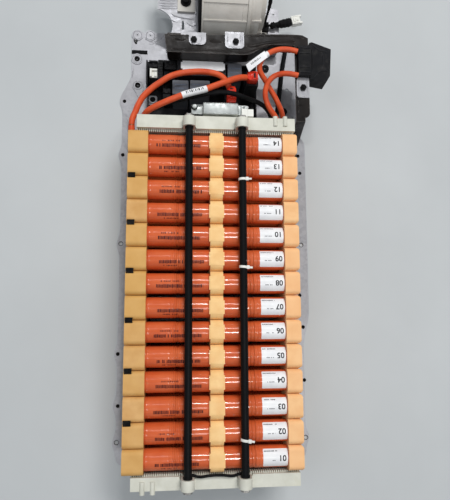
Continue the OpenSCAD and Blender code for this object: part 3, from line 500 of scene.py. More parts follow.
def make_stage():
    """The sky's even light, the area lights and a plain pale floor."""
    world = bpy.data.worlds.new("world")
    world.use_nodes = True
    background = world.node_tree.nodes["Background"]
    background.inputs["Color"].default_value = SKY_COLOUR
    background.inputs["Strength"].default_value = SKY_STRENGTH
    scene.world = world
    for light in LIGHTS:
        area_light(*light)
    mesh = bpy.data.meshes.new("floor")
    signs = ((-1, -1), (1, -1), (1, 1), (-1, 1))
    corners = [(FLOOR_REACH * x, FLOOR_REACH * y, FLOOR_LEVEL) for x, y in signs]
    mesh.from_pydata(corners, [], [(0, 1, 2, 3)])
    floor = bpy.data.objects.new("floor", mesh)
    scene.collection.objects.link(floor)
    look = Shader("floor", 0.6)
    mesh.materials.append(look.finish(look.mix(look.clouds(3, 4), srgb(186, 190, 192), srgb(194, 198, 200))))
    scene.view_settings.view_transform = "Standard"


make_stage()


# ---- mesh helpers --------------------------------------------------------

def smooth_path(points, step):
    """Catmull-Rom curve through the points, with a point about every step."""
    pts = [Vector(p) for p in points]
    ends = [pts[0] * 2 - pts[1], *pts, pts[-1] * 2 - pts[-2]]
    path = [pts[0]]
    for i in range(1, len(ends) - 2):
        a, b, c, d = ends[i - 1:i + 3]
        count = max(1, round((c - b).length / step))
        for j in range(1, count + 1):
            t = j / count
            path.append(0.5 * (2 * b + (c - a) * t + (2 * a - 5 * b + 4 * c - d) * t * t
                               + (3 * b - a - 3 * c + d) * t ** 3))
    return path


def heading(path, i):
    """Direction of a path at one of its points."""
    return (path[min(i + 1, len(path) - 1)] - path[max(i - 1, 0)]).normalized()


def arc(centre, radius, start, end, count):
    """Points on a circle, angles in degrees."""
    steps = [math.radians(start + (end - start) * i / count) for i in range(count + 1)]
    return [(centre[0] + radius * math.cos(a), centre[1] + radius * math.sin(a)) for a in steps]


def round_rect(low, high, radius, count=6):
    """Outline of a rectangle with round corners."""
    (x0, y0), (x1, y1), r = low, high, radius
    return (arc((x1 - r, y0 + r), r, -90, 0, count) + arc((x1 - r, y1 - r), r, 0, 90, count)
            + arc((x0 + r, y1 - r), r, 90, 180, count) + arc((x0 + r, y0 + r), r, 180, 270, count))


def turned(axis):
    """Rotation that takes +Z to the named axis."""
    return {"X": Matrix.Rotation(math.pi / 2, 4, "Y"), "Y": Matrix.Rotation(-math.pi / 2, 4, "X"),
            "Z": Matrix.Identity(4)}[axis]


def round_edges(part, edges, width, segments):
    """Bevels some edges of a shell."""
    bmesh.ops.bevel(part, geom=edges, offset=width, segments=segments, affect="EDGES", profile=0.5)


class Piece:
    """Collects closed shells in one mesh, in millimetres."""

    def __init__(self):
        self.bm = bmesh.new()

    def take(self, part):
        """Adds a shell, its faces turned outwards."""
        bmesh.ops.recalc_face_normals(part, faces=part.faces)
        mesh = bpy.data.meshes.new("part")
        part.to_mesh(mesh)
        part.free()
        self.bm.from_mesh(mesh)
        bpy.data.meshes.remove(mesh)

    def shift(self, mark, matrix):
        """Moves everything added since the mark, a count of points."""
        self.bm.verts.ensure_lookup_table()
        for v in self.bm.verts[mark:]:
            v.co = matrix @ v.co

    def box(self, low, high, bevel=0.0):
        """A box between two corners, with all its edges rounded."""
        low, high = Vector(low), Vector(high)
        part = bmesh.new()
        place = Matrix.Translation((low + high) / 2)
        bmesh.ops.create_cube(part, size=1, matrix=place @ Matrix.Diagonal((*(high - low), 1)))
        if bevel:
            round_edges(part, part.edges[:], bevel, 2)
        self.take(part)

    def prism(self, outline, low, high, bevel=0.0, segments=2, place=None):
        """An outline in XY run from low to high in Z, its rims bevelled, then placed."""
        part = bmesh.new()
        under, top = ([part.verts.new((x, y, z)) for x, y in outline] for z in (low, high))
        part.faces.new(under[::-1])
        part.faces.new(top)
        for a, b, c, d in zip(under, under[1:] + under[:1], top[1:] + top[:1], top):
            part.faces.new((a, b, c, d))
        bmesh.ops.recalc_face_normals(part, faces=part.faces)
        if bevel:
            rims = [e for e in part.edges if abs(e.verts[0].co.z - e.verts[1].co.z) < 1e-6]
            round_edges(part, rims, bevel, segments)
        if place:
            part.transform(place)
        self.take(part)

    def lathe(self, profile, at, axis="Z", sides=48):
        """A (radius, height) profile turned round an axis through a point; a closed loop of
        points makes a ring, and a profile that starts and ends at radius 0 a solid."""
        part = bmesh.new()
        rows = []
        for radius, height in profile:
            angles = [math.tau * i / sides for i in range(sides if radius > 0 else 1)]
            rows.append([part.verts.new((radius * math.cos(a), radius * math.sin(a), height))
                         for a in angles])
        pairs = list(zip(rows, rows[1:]))
        if profile[0][0] > 0:
            pairs.append((rows[-1], rows[0]))
        for a, b in pairs:
            for i in range(sides):
                j = i + 1
                corners = [a[i % len(a)], a[j % len(a)], b[j % len(b)], b[i % len(b)]]
                unique = list(dict.fromkeys(corners))
                if len(unique) > 2:
                    part.faces.new(unique)
        part.transform(Matrix.Translation(at) @ turned(axis))
        self.take(part)

    def lathes(self, profile, places, sides=28):
        """The same upright turned shape at several places in XY."""
        for x, y in places:
            self.lathe(profile, (x, y, 0), sides=sides)

    def tube(self, path, radius, sides=16, squash=1.0):
        """A round tube along a path; radius is a number or a function of (index, angle)."""
        part = bmesh.new()
        size = radius if callable(radius) else (lambda i, a: radius)
        angles = [math.tau * j / sides for j in range(sides)]
        rows = []
        normal = Vector((0, 0, 1))
        for i, point in enumerate(path):
            ahead = heading(path, i)
            if abs(normal.dot(ahead)) > 0.98:
                normal = Vector((0, 1, 0))
            normal = (normal - normal.dot(ahead) * ahead).normalized()
            side = ahead.cross(normal)
            ring = [math.cos(a) * normal * squash + math.sin(a) * side for a in angles]
            rows.append([part.verts.new(point + size(i, a) * spoke) for a, spoke in zip(angles, ring)])
        for a, b in zip(rows, rows[1:]):
            for i in range(sides):
                j = (i + 1) % sides
                part.faces.new((a[i], a[j], b[j], b[i]))
        part.faces.new(rows[0][::-1])
        part.faces.new(rows[-1])
        self.take(part)

    def sheet(self, top, under):
        """A thin closed shell between two grids of points."""
        part = bmesh.new()
        top, under = ([[part.verts.new(point) for point in row] for row in grid] for grid in (top, under))
        rows, columns = len(top) - 1, len(top[0]) - 1
        for i in range(rows):
            for j in range(columns):
                for grid in (top, under):
                    part.faces.new((grid[i][j], grid[i][j + 1], grid[i + 1][j + 1], grid[i + 1][j]))
            for j in (0, columns):
                part.faces.new((top[i][j], top[i + 1][j], under[i + 1][j], under[i][j]))
        for i in (0, rows):
            for j in range(columns):
                part.faces.new((top[i][j], top[i][j + 1], under[i][j + 1], under[i][j]))
        self.take(part)

    def done(self, name, slot, *stands_for, look=None, body="pack", sharp=35, place=None):
        """Turns the shells into an object in metres that rides on a body."""
        if place:
            self.bm.transform(place)
        self.bm.transform(Matrix.Scale(MM, 4))
        mesh = bpy.data.meshes.new(name)
        self.bm.to_mesh(mesh)
        self.bm.free()
        mesh.shade_smooth()
        mesh.set_sharp_from_angle(angle=math.radians(sharp))
        obj = bpy.data.objects.new(name, mesh)
        scene.collection.objects.link(obj)
        mesh.materials.append(MATERIALS[look or slot])
        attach(obj, body)
        if stands_for:
            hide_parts(*stands_for)
        return obj


# ---- cords ---------------------------------------------------------------

MAIN_CABLE_R = 5.3
PLUG_CABLE_R = 4.8
HARNESS_R = 4
DUCT_WIRE_R = 4.6
FRONT_WIRE_R = 2.2
PIGTAIL_R = 2.3
TAPE_ROUTE = [
    (118.5, 529.8, 38), (127, 532, 37.6), (135, 533.8, 37.6), (143, 535.6, 38), (151.5, 537.6, 38.6),
    (158.6, 539.6, 38.9)]
LEAD_BOOT_END = 78
PIGTAIL_PLUG_TURN = 14


def make_pigtail_tape():
    """Wrinkled tape over the lead, thick at the plug and drawn in near its other end."""
    path = smooth_path(TAPE_ROUTE, 1.2)
    last = len(path) - 1

    def taped(i, a):
        along = i / last
        waist = 6.6 + 1.8 * along - 2.6 * math.exp(-((along - 0.3) / 0.13) ** 2)
        ends = min(1, 0.6 + 4 * along) * min(1, 0.8 + 4 * (1 - along))
        folds = 0.35 * math.sin(i * 1.15 + 1.5 * math.cos(a)) + 0.5 * noise(Vector((i * 0.35, a * 0.9, 3)))
        return waist * ends + folds

    tape = Piece()
    tape.tube(path, taped, 28)
    return tape.done("pigtail_tape", "black_rubber", "pigtail_sleeve", sharp=50)


def make_pigtail_plug():
    """The connector on the lead's end: shell, latch, side lugs and contacts."""
    plug = Piece()
    plug.prism(round_rect((0, -8.6), (17, 8.6), 1.4), -5.6, 5.6, 0.7)
    for side in (-1, 1):
        plug.box((16.4, side * 6.9 - 1.8, -5.2), (20.6, side * 6.9 + 1.8, 5.2), 0.5)
        plug.box((2, side * 6.6 - 0.7, 5.2), (15.5, side * 6.6 + 0.7, 6.4), 0.3)
    plug.box((3, -3.8, 5.2), (14, 3.8, 6.8), 0.6)
    plug.box((7, -2.6, 6.4), (12, 2.6, 7.6), 0.5)
    for y in (-4, -1.4, 1.4, 4):
        plug.box((16.6, y - 0.45, -0.5), (19, y + 0.45, 0.5), 0.1)
    turn = Matrix.Rotation(math.radians(PIGTAIL_PLUG_TURN), 4, "Z")
    place = Matrix.Translation(PIGTAIL_ROUTE[-1]) @ turn
    return plug.done("pigtail_plug", "white_plastic", "pigtail_connector", place=place)


def make_pigtail():
    """The blower's free lead, with its boot, its taped sleeve and its connector."""
    path = smooth_path(PIGTAIL_ROUTE, 2.5)
    cord = Piece()
    cord.tube(path, PIGTAIL_R, 14)
    lead = cord.done("pigtail_lead", "black_rubber", "blower_pigtail")
    sleeve = make_pigtail_tape()
    boot = Piece()
    root = [p for p in path if p.z > LEAD_BOOT_END]
    last = len(root) - 1
    boot.tube(root, lambda i, a: 5.2 - 2.4 * i / last + 0.35 * math.sin(i * 1.9), 20)
    relief = boot.done("lead_boot", "black_rubber", sharp=50)
    connector = make_pigtail_plug()


make_pigtail()


def make_cables():
    """The held cables: round jackets swept along the CAD's routes."""
    def bundled(i, a):
        """Radius of the harness, with its wires showing through the tape."""
        return HARNESS_R + 0.45 * math.sin(3 * a + i * 0.16) + 0.2 * noise(Vector((i * 0.2, a, 5)))

    for name, node, route in (("negative_cable", "hv_cable_negative", NEGATIVE_ROUTE),
                              ("positive_cable", "hv_cable_positive", POSITIVE_ROUTE)):
        piece = Piece()
        piece.tube(smooth_path(route, 3), MAIN_CABLE_R, 28)
        piece.done(name, "orange_cable", node)
    service = Piece()
    for route in (PLUG_ROUTE_1, PLUG_ROUTE_2):
        service.tube(smooth_path(route, 3), PLUG_CABLE_R, 28)
    service.done("service_cables", "orange_cable", "plug_cables")
    harness = Piece()
    harness.tube(smooth_path(HARNESS_ROUTE, 2.5), bundled, 24)
    harness.tube(smooth_path(DUCT_WIRE_ROUTE, 3), DUCT_WIRE_R, 20)
    harness.tube(smooth_path(FRONT_WIRE_ROUTE, 2), FRONT_WIRE_R, 14)
    harness.done("harness_tubes", "black_rubber", "wire_harness")


make_cables()


# ---- labels and print on the modules -------------------------------------

MODULES = [f"module_{k:02d}_sticks" for k in range(1, 15)]


def stick_of(node):
    """(y, z, radius) of a module's top stick."""
    low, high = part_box(node)
    radius = (high[1] - low[1]) / 2 / MM
    return (low[1] + high[1]) / 2 / MM, high[2] / MM - radius, radius


def on_stick(stick, x, swing, lift):
    """Point on a stick's film; swing is the arc length from the top towards +Y."""
    y, z, radius = stick
    angle = swing / radius
    return (x, y + (radius + lift) * math.sin(angle), z + (radius + lift) * math.cos(angle))


def patch(piece, stick, x0, x1, swing0, swing1, lift, thick=0.06, cut=0.0):
    """A thin film on a stick, with its corners cut."""
    count = max(1, round((swing1 - swing0) / 1.5))
    step = (swing1 - swing0) / count
    top, under = [], []
    for i in range(count + 1):
        inset = max(0, cut - min(i, count - i) * step)
        for grid, level in ((top, lift), (under, lift - thick)):
            grid.append([on_stick(stick, x, swing0 + step * i, level) for x in (x0 + inset, x1 - inset)])
    piece.sheet(top, under)


BOLD_STEPS = ((0, 0), (0.5, 0), (0, 0.5), (0.5, 0.5), (0.25, 0.25))
CAPITAL_SHARE = 0.7


def numeral(piece, stick, text, x, swing, height, lift):
    """A bold number bent round a stick, read from the far side of the pack."""
    for i, (dx, dy) in enumerate(BOLD_STEPS):
        strike(piece, stick, text, x - dx, swing - dy, height, lift + 0.004 * i)


def strike(piece, stick, text, x, swing, height, lift):
    """One strike of the number: flat text, cut into strips and wrapped on the film."""
    curve = bpy.data.curves.new("numeral", "FONT")
    curve.body = text
    curve.size = height / CAPITAL_SHARE
    curve.extrude = 0.03
    obj = bpy.data.objects.new("numeral", curve)
    scene.collection.objects.link(obj)
    bpy.context.view_layer.update()
    mesh = bpy.data.meshes.new_from_object(obj)
    part = bmesh.new()
    part.from_mesh(mesh)
    bpy.data.objects.remove(obj)
    bpy.data.curves.remove(curve)
    bpy.data.meshes.remove(mesh)
    for i in range(math.ceil(height)):
        whole = part.verts[:] + part.edges[:] + part.faces[:]
        bmesh.ops.bisect_plane(part, geom=whole, plane_co=(0, i, 0), plane_no=(0, 1, 0))
    for v in part.verts:
        v.co = on_stick(stick, x - v.co.x, swing - v.co.y, lift + v.co.z)
    piece.take(part)


def ink_bars(x0, x1, widths, gap, rng, skip=0.1):
    """Start and end of each bar in a row of plain bars that stands for print."""
    x = x0
    while x < x1:
        wide = rng.uniform(*widths)
        if rng.random() > skip:
            yield x, min(x + wide, x1)
        x += wide + gap


def stick_print(piece, stick, lift, x0, x1, swing, tall, widths, gap, rng, skip=0.1):
    """A row of bars of uneven height on a stick."""
    for start, end in ink_bars(x0, x1, widths, gap, rng, skip):
        low = swing - tall / 2 * rng.uniform(0.75, 1)
        high = swing + tall / 2 * rng.uniform(0.75, 1)
        patch(piece, stick, start, end, low, high, lift)


LABEL_X = (77.2, 117)
LABEL_SWING = (-13.5, 16.5)
LABEL_LIFT = 0.12
LABEL_PRINT_LIFT = 0.17
FILM_PRINT_LIFT = 0.08


def make_labels():
    """A label with its number on every module, and the print on its film."""
    rng = random.Random(14)
    label, ink, grey, film_ink = Piece(), Piece(), Piece(), Piece()
    for k, node in enumerate(MODULES, 1):
        stick = stick_of(node)
        shift = rng.uniform(-1.2, 1.2)
        x0 = LABEL_X[0] + rng.uniform(-0.8, 0.8)
        low, high = LABEL_SWING[0] + shift, LABEL_SWING[1] + shift
        patch(label, stick, x0, LABEL_X[1], low, high, LABEL_LIFT, 0.1, 1.0)
        numeral(ink, stick, f"{k:02d}", LABEL_X[1] - 2.4, shift + 5.6, 8.6, LABEL_LIFT + 0.02)
        on_label = (grey, stick, LABEL_PRINT_LIFT)
        stick_print(*on_label, x0 + 1.5, x0 + 23, high - 4.2, 2.0, (0.7, 1.9), 0.45, rng)
        stick_print(*on_label, x0 + 8, x0 + 20, low + 11.5, 1.7, (0.6, 1.6), 0.5, rng, 0.2)
        on_film = (film_ink, stick, FILM_PRINT_LIFT)
        row = -5.4 + rng.uniform(-1, 1)
        start, end = -94 + rng.uniform(-3, 6), -20 + rng.uniform(-4, 4)
        stick_print(*on_film, start, end, row, 6.4, (0.9, 2.4), 0.6, rng, 0.06)
        if k % 2:
            stick_print(*on_film, -82, -58, row - 6.6, 2.8, (0.7, 1.8), 1.1, rng, 0.2)
        else:
            stick_print(*on_film, -86, -56, row + 8, 2.6, (0.7, 2.0), 1.2, rng, 0.15)
    label.done("module_labels", "shrink_sleeve", look="label_white")
    ink.done("module_numerals", "shrink_sleeve", look="label_ink")
    grey.done("label_print", "shrink_sleeve", look="label_grey")
    film_ink.done("film_print", "shrink_sleeve", look="film_ink")


make_labels()


# ---- ties, connectors and electronics ------------------------------------

ALONG_X = Matrix(((0, 0, 1, 0), (1, 0, 0, 0), (0, 1, 0, 0), (0, 0, 0, 1)))
RIGHT_ROD = (47.6, 138.5)
SLEEVE_R = 6.2


def make_ties():
    """Cable ties round the right rod's sleeve, each a little askew."""
    ties = Piece()
    for y, slant in ((191, 2), (45, -5), (-225, -9)):
        mark = len(ties.bm.verts)
        inner, rim, outer = SLEEVE_R + 0.1, SLEEVE_R + 0.8, SLEEVE_R + 1
        ties.lathe([(inner, -2), (rim, -2), (outer, -1.7), (outer, 1.7), (rim, 2), (inner, 2)],
                   (0, 0, 0), "Y", 40)
        ties.box((4.4, -2.9, 1.6), (9.4, 2.9, 6.4), 0.7)
        ties.box((9, -1.6, 3.2), (14.6, 1.6, 4.3), 0.3)
        for i in range(4):
            ties.box((9.8 + i * 1.2, -1.2, 4.2), (10.3 + i * 1.2, 1.2, 4.5))
        ties.shift(mark, Matrix.Translation((RIGHT_ROD[0], y, RIGHT_ROD[1]))
                   @ Matrix.Rotation(math.radians(slant), 4, "Z"))
    ties.done("tie_straps", "white_plastic", "cable_ties")


make_ties()


def make_hv_connectors():
    """The two high-voltage connectors: shell, latch frame, grip ribs, and dark patches in the latch openings,
    painted shade.
    """
    shell, slots = Piece(), Piece()
    shell.prism(round_rect((26, 341.5), (42, 368.5), 2.5), 84.2, 104.2, 0.9)
    shell.prism(round_rect((27.4, 361.5), (40.6, 370), 2), 86, 105.2, 0.8)
    for x in (28.2, 38.2):
        shell.box((x, 343.2, 104), (x + 1.6, 360.6, 106.2), 0.35)
    shell.box((29.4, 343.2, 104), (38.6, 346, 106.6), 0.4)
    for i in range(3):
        shell.box((30.4, 348.4 + i * 2.6, 104), (37.6, 349.6 + i * 2.6, 105.4), 0.25)
    # Dark patches in the latch openings: painted shade
    slots.box((30.6, 356.6, 104.1), (37.4, 360, 104.5))
    slots.box((31.4, 364, 105.1), (36.6, 366, 105.4))
    shell.prism(round_rect((64.5, 382), (81.5, 399), 2.5), 90.2, 106.2, 0.9)
    shell.prism(round_rect((62.6, 383.4), (70, 397.6), 2), 90.6, 107.2, 0.8)
    for y in (383.6, 396):
        shell.box((70.4, y, 106), (80.4, y + 1.5, 108.3), 0.35)
    shell.box((77.8, 384, 106), (80.4, 397, 108.6), 0.4)
    for i in range(3):
        shell.box((71.2 + i * 2.1, 385.6, 106), (72.2 + i * 2.1, 395.4, 107.3), 0.25)
    slots.box((73.6, 386.4, 107), (76.6, 394.6, 107.3))
    shell.done("hv_plugs", "red_plastic", "hv_connectors")
    slots.done("hv_plug_slot_shade", "red_plastic", look="label_ink")


make_hv_connectors()


RESISTOR_BASE = 99
HOLE_Y = 330.2


def make_resistor():
    """Smooth extruded resistor between two slotted feet."""
    body = Piece()
    section = [(309.5, RESISTOR_BASE), (336, RESISTOR_BASE), (336, 108)] + arc((330, 112), 5, 0, 90, 6) \
        + arc((315.5, 112), 5, 90, 180, 6) + [(309.5, 108)]
    body.prism(section, -17, 44, 1.3, 3, ALONG_X)
    for y in (313.2, 331.4):
        body.box((-14, y, 116.4), (41, y + 0.9, 117.4), 0.25)
    for hole_x, root, tip, out in ((-31.5, -16.5, -37, -1), (59.5, 43.5, 65, 1)):
        start = -90 if out < 0 else -270
        slot = arc((hole_x, HOLE_Y), 2.4, start, start + 180, 8)
        outer = [(tip, 332.6), (tip, 334), (tip - out * 2, 336), (root, 336), (root, 318),
                 (tip - out * 2, 318), (tip, 320), (tip, 327.8)]
        body.prism((outer if out < 0 else outer[::-1]) + slot, RESISTOR_BASE, 101, 0.3)
        body.lathes([(0, 105.2), (4.2, 105.2), (4.2, 105.8), (3.2, 106.6), (0, 106.8)], [(hole_x, HOLE_Y)])
    body.box((44, 313.4, 103), (50, 331.4, 113), 1.0)
    body.done("resistor_body", "cast_aluminium", "precharge_resistor")


make_resistor()


def print_on_relays(rng):
    """Rows of flat bars on the relays' covers."""
    ink = Piece()
    for x0, x1, y, tall, widths in ((-67, -47, 384, 2.2, (1, 3)), (-67, -50, 377, 1.8, (1, 3)),
                                    (-35, -9, 385, 2.2, (1, 3)), (-35, -14, 378, 1.8, (1, 3)),
                                    (33, 53, 419, 2.4, (1.4, 3.4)), (33, 50, 411, 1.8, (1, 3))):
        for start, end in ink_bars(x0, x1, widths, 0.8, rng):
            ink.box((start, y - tall / 2, RELAY_TOP + 0.02), (end, y + tall / 2, RELAY_TOP + 0.08))
    ink.done("relay_print", "relay_plastic", look="relay_ink")


def make_electronics():
    """The battery computer's label plate, and details of the relays and the connectors."""
    plate = Piece()
    level = COMPUTER_TOP + 0.02
    plate.box((-53, 409.6, level), (21.6, 427, 81.8), 0.5)
    plate.box((-56, 412, level), (-52.6, 424.6, 81.2), 0.4)
    plate.box((21.2, 412, level), (24.4, 424.6, 81.2), 0.4)
    plate.box((-50, 411.2, 81.6), (19, 412, 82.1), 0.15)
    plate.done("ecu_cover", "white_plastic", look="label_white")
    print_on_relays(random.Random(5))
    white = Piece()
    white.box((-113, 403.6, 56.1), (-99.4, 419.2, 59), 0.6)
    white.box((-113, 403.6, 58.6), (-109.4, 419.2, 64), 0.8)
    white.box((-110, 415.4, 58.6), (-99.4, 419.2, 63), 0.8)
    white.box((-104.6, 405, 58.6), (-100, 413, 61.6), 0.6)
    white.done("signal_plug", "white_plastic")
    dark = Piece()
    for low, high in (((-114.6, 422.6, 58.1), (-99.4, 425.4, 62)),
                      ((-114.6, 432.4, 58.1), (-99.4, 435.6, 62)),
                      ((-108, 426, 58.1), (-105.4, 432, 60.6)),
                      ((-87, 401, 60), (-66, 406, 66)),
                      ((-87, 408, 56), (-64, 416, 60)),
                      ((-86, 419, 56), (-64, 436, 63))):
        dark.box(low, high, 0.5)
    for x0, x1 in ((-88, -84.6), (-80, -76)):
        for y in (369, 380):
            dark.box((x0, y, 48.1), (x1, y + 7, 51), 0.5)
    for y in range(400, 438, 5):
        dark.box((-98.6, y, 57), (-89.4, y + 1.2, 61), 0.2)
    for x, y in ((-82, 425), (-74, 430), (-82, 433), (-70, 422)):
        dark.lathe([(0, 0), (2.4, 0), (2.4, 2.4), (1.8, 3), (0, 3)], (x, y, 62.8), sides=20)
    dark.done("connector_ribs", "black_plastic")
    tag = Piece()
    tag.prism(round_rect((-118.6, 371.6), (-101.4, 390.6), 4), 9.25, 9.9, 0.2)
    tag.lathe([(5.6, 13.4), (7.4, 13.4), (7.4, 14.2), (5.6, 14.2)], (-110, 381, 0), sides=32)
    tag.done("ground_tag", "galvanised")


make_electronics()


# ---- labels on the cables ------------------------------------------------

WRAP_THICKNESS = 0.45
MARK_STEPS = 5
FLAG_CORNERS = [Vector(p) for p in ((58.5, 406.6, 113.5), (64, 393.9, 112.5), (96.6, 419, 119.4),
                                    (91.2, 430.6, 119.6))]
FLAG_BOW = 1.3
FLAG_STEPS = 8
FLAG_THICKNESS = 0.35


def frames_along(path):
    """(point, up, side) at every point of a path, with up kept near +Z."""
    rows = []
    for i, point in enumerate(path):
        ahead = heading(path, i)
        side = ahead.cross(Vector((0, 0, 1))).normalized()
        rows.append((point, side.cross(ahead).normalized(), side))
    return rows


def cable_mark(piece, rows, radius, low, high):
    """A curved ink mark over two or more frames, between two angles from the top."""
    angles = [low + (high - low) * i / MARK_STEPS for i in range(MARK_STEPS + 1)]
    top, under = ([[point + (radius + lift) * (math.cos(a) * up + math.sin(a) * side) for a in angles]
                   for point, up, side in rows] for lift in (0.07, -0.05))
    piece.sheet(top, under)


def make_cable_wrap(ink, rng):
    """The label round the positive cable, with its marks."""
    path = [p for p in smooth_path(POSITIVE_ROUTE, 0.8) if -55 < p.x < -11]
    radius = MAIN_CABLE_R + WRAP_THICKNESS
    wrap = Piece()
    wrap.tube(path, radius, 32)
    rows = frames_along(path)
    i = 10
    while i < len(rows) - 8:
        wide = rng.choice((2, 3, 3, 4))
        low = -0.5 + rng.uniform(-0.05, 0.1)
        high = 0.35 + rng.uniform(-0.1, 0.1)
        cable_mark(ink, rows[i:i + wide], radius, low, high)
        i += wide + rng.choice((1, 1, 2))
    wrap.done("cable_wrap", "orange_cable", look="label_white")


def flag_bow(t):
    """How far the flag bows up at a share of its length."""
    return FLAG_BOW * math.sin(math.pi * t)


def make_cable_flag(ink, rng):
    """The paper flag on the first service cable, with two rows of marks."""
    def grid(lift):
        """The flag's two long edges as rows of points, lifted."""
        rows = []
        for t in (i / FLAG_STEPS for i in range(FLAG_STEPS + 1)):
            rise = Vector((0, 0, flag_bow(t) + lift))
            rows.append([FLAG_CORNERS[0].lerp(FLAG_CORNERS[3], t) + rise,
                         FLAG_CORNERS[1].lerp(FLAG_CORNERS[2], t) + rise])
        return rows

    flag = Piece()
    flag.sheet(grid(FLAG_THICKNESS), grid(0))
    cuff = [p for p in smooth_path(PLUG_ROUTE_1, 0.8) if 93.2 < p.x < 99 and p.y > 424]
    flag.tube(cuff, PLUG_CABLE_R + WRAP_THICKNESS, 28)
    flag.done("cable_flag", "orange_cable", look="label_white")

    along, across = FLAG_CORNERS[3] - FLAG_CORNERS[0], FLAG_CORNERS[1] - FLAG_CORNERS[0]
    slope = Matrix.Rotation(math.atan2(along.y, along.x), 4, "Z") \
        @ Matrix.Rotation(-math.atan2(along.z, along.xy.length), 4, "Y")
    for row, low, high in ((0.36, 0.22, 0.72), (0.68, 0.3, 0.66)):
        t = low
        while t < high:
            wide = rng.uniform(0.02, 0.05)
            middle = FLAG_CORNERS[0] + along * (t + wide / 2) + across * row
            middle.z += flag_bow(t) + FLAG_THICKNESS + 0.01
            mark = len(ink.bm.verts)
            ink.box((-wide * along.length / 2, -1.9, 0), (wide * along.length / 2, 1.9, 0.12))
            ink.shift(mark, Matrix.Translation(middle) @ slope)
            t += wide + 0.022


def make_cable_labels():
    """The labels on the cables, their marks, and the boot on the negative cable's lug."""
    rng = random.Random(8)
    ink = Piece()
    make_cable_wrap(ink, rng)
    make_cable_flag(ink, rng)
    ink.done("cable_label_print", "orange_cable", look="label_ink")
    boot = Piece()
    start = smooth_path([(-139.2, 278, 111.1), (-139.2, 285, 111.1), NEGATIVE_ROUTE[0]], 2)
    boot.tube(start, MAIN_CABLE_R + 0.5, 28)
    boot.done("lug_boot", "orange_cable")


make_cable_labels()


# ---- frame, tray and bracket trim ----------------------------------------

def ridges(piece, level, rows):
    """Soft pressed ridges, each a flattened tube sunk in the sheet. A row holds a ridge's
    points in XY, half its width and its height."""
    for points, half_width, height in rows:
        path = smooth_path([(x, y, level) for x, y in points], 3)

        def fade(i, a):
            return half_width * max(0.25, min(1, (i + 0.4) / 3, (len(path) - 0.6 - i) / 3))

        piece.tube(path, fade, 16, height / half_width)


def hook(ring, stud, x, y, z, stretch=1.6, turn=12):
    """A dark spring clip round a bright stud, seen end-on in a hole."""
    for piece, profile in ((ring, [(1.7, 0), (3.1, 0), (3.3, 0.8), (2.7, 1.6), (1.9, 1.4)]),
                           (stud, [(0, -1), (1.5, -1), (1.5, 1.1), (0.8, 1.5), (0, 1.5)])):
        mark = len(piece.bm.verts)
        piece.lathe(profile, (0, 0, 0), sides=28)
        piece.shift(mark, Matrix.Translation((x, y, z)) @ Matrix.Rotation(math.radians(turn), 4, "Z")
                    @ Matrix.Diagonal((0.8, stretch, 1, 1)))


def make_frame_trim():
    """Pressings in the painted frame and in its zinc-coated tabs."""
    press = Piece()
    ridges(press, FRAME_TOP, (
        ([(-70, 451.5), (-60, 451.5), (-46, 451.3)], 3.4, 1.2),
        ([(-8, 450.6), (0, 450.4), (8, 450), (18, 449)], 3.4, 1.2),
        ([(60, 443.8), (72, 444.6), (90, 449), (112, 454), (133, 456.6), (150, 456)], 3.4, 1.3),
        ([(-74, 432.4), (-40, 432.6), (0, 433), (30, 432.6), (52, 431.4), (64, 434), (76, 438.6), (90, 444),
          (104, 448.6)], 2.2, 1.0),
        ([(-80, 457.4), (-60, 458), (-48, 458.3)], 1.5, 0.8),
        ([(62, 462.6), (90, 464.8), (120, 466.4), (150, 466.2), (165, 463)], 1.6, 0.9),
        ([(152.6, 322), (152.6, 345)], 1.4, 0.8)))
    press.done("frame_pressings", "dark_paint")
    tabs = Piece()
    for x, y0, y1 in ((-39.6, 449, 461), (-20.4, 446, 460), (26.4, 445, 463), (49.4, 445, 463),
                      (52.6, 445, 464), (153.4, 357, 384), (168.6, 357, 384)):
        ridges(tabs, TAB_TOP, [([(x, y0), (x, (y0 + y1) / 2), (x, y1)], 1.0, 0.7)])
    for x0, x1, y in ((-36, -18, 444.2), (28, 50, 439.8), (155, 166, 352.4)):
        ridges(tabs, TAB_TOP, [([(x0, y + 1.4), (x0 + 4, y), (x1 - 4, y), (x1, y + 1.4)], 1.0, 0.6)])
    tabs.done("tab_pressings", "galvanised")


make_frame_trim()


NUT_BOSSES = ((-142, 469), (-140, 414))
HOLE_BOSSES = ((-142, 519), (-117, 519))


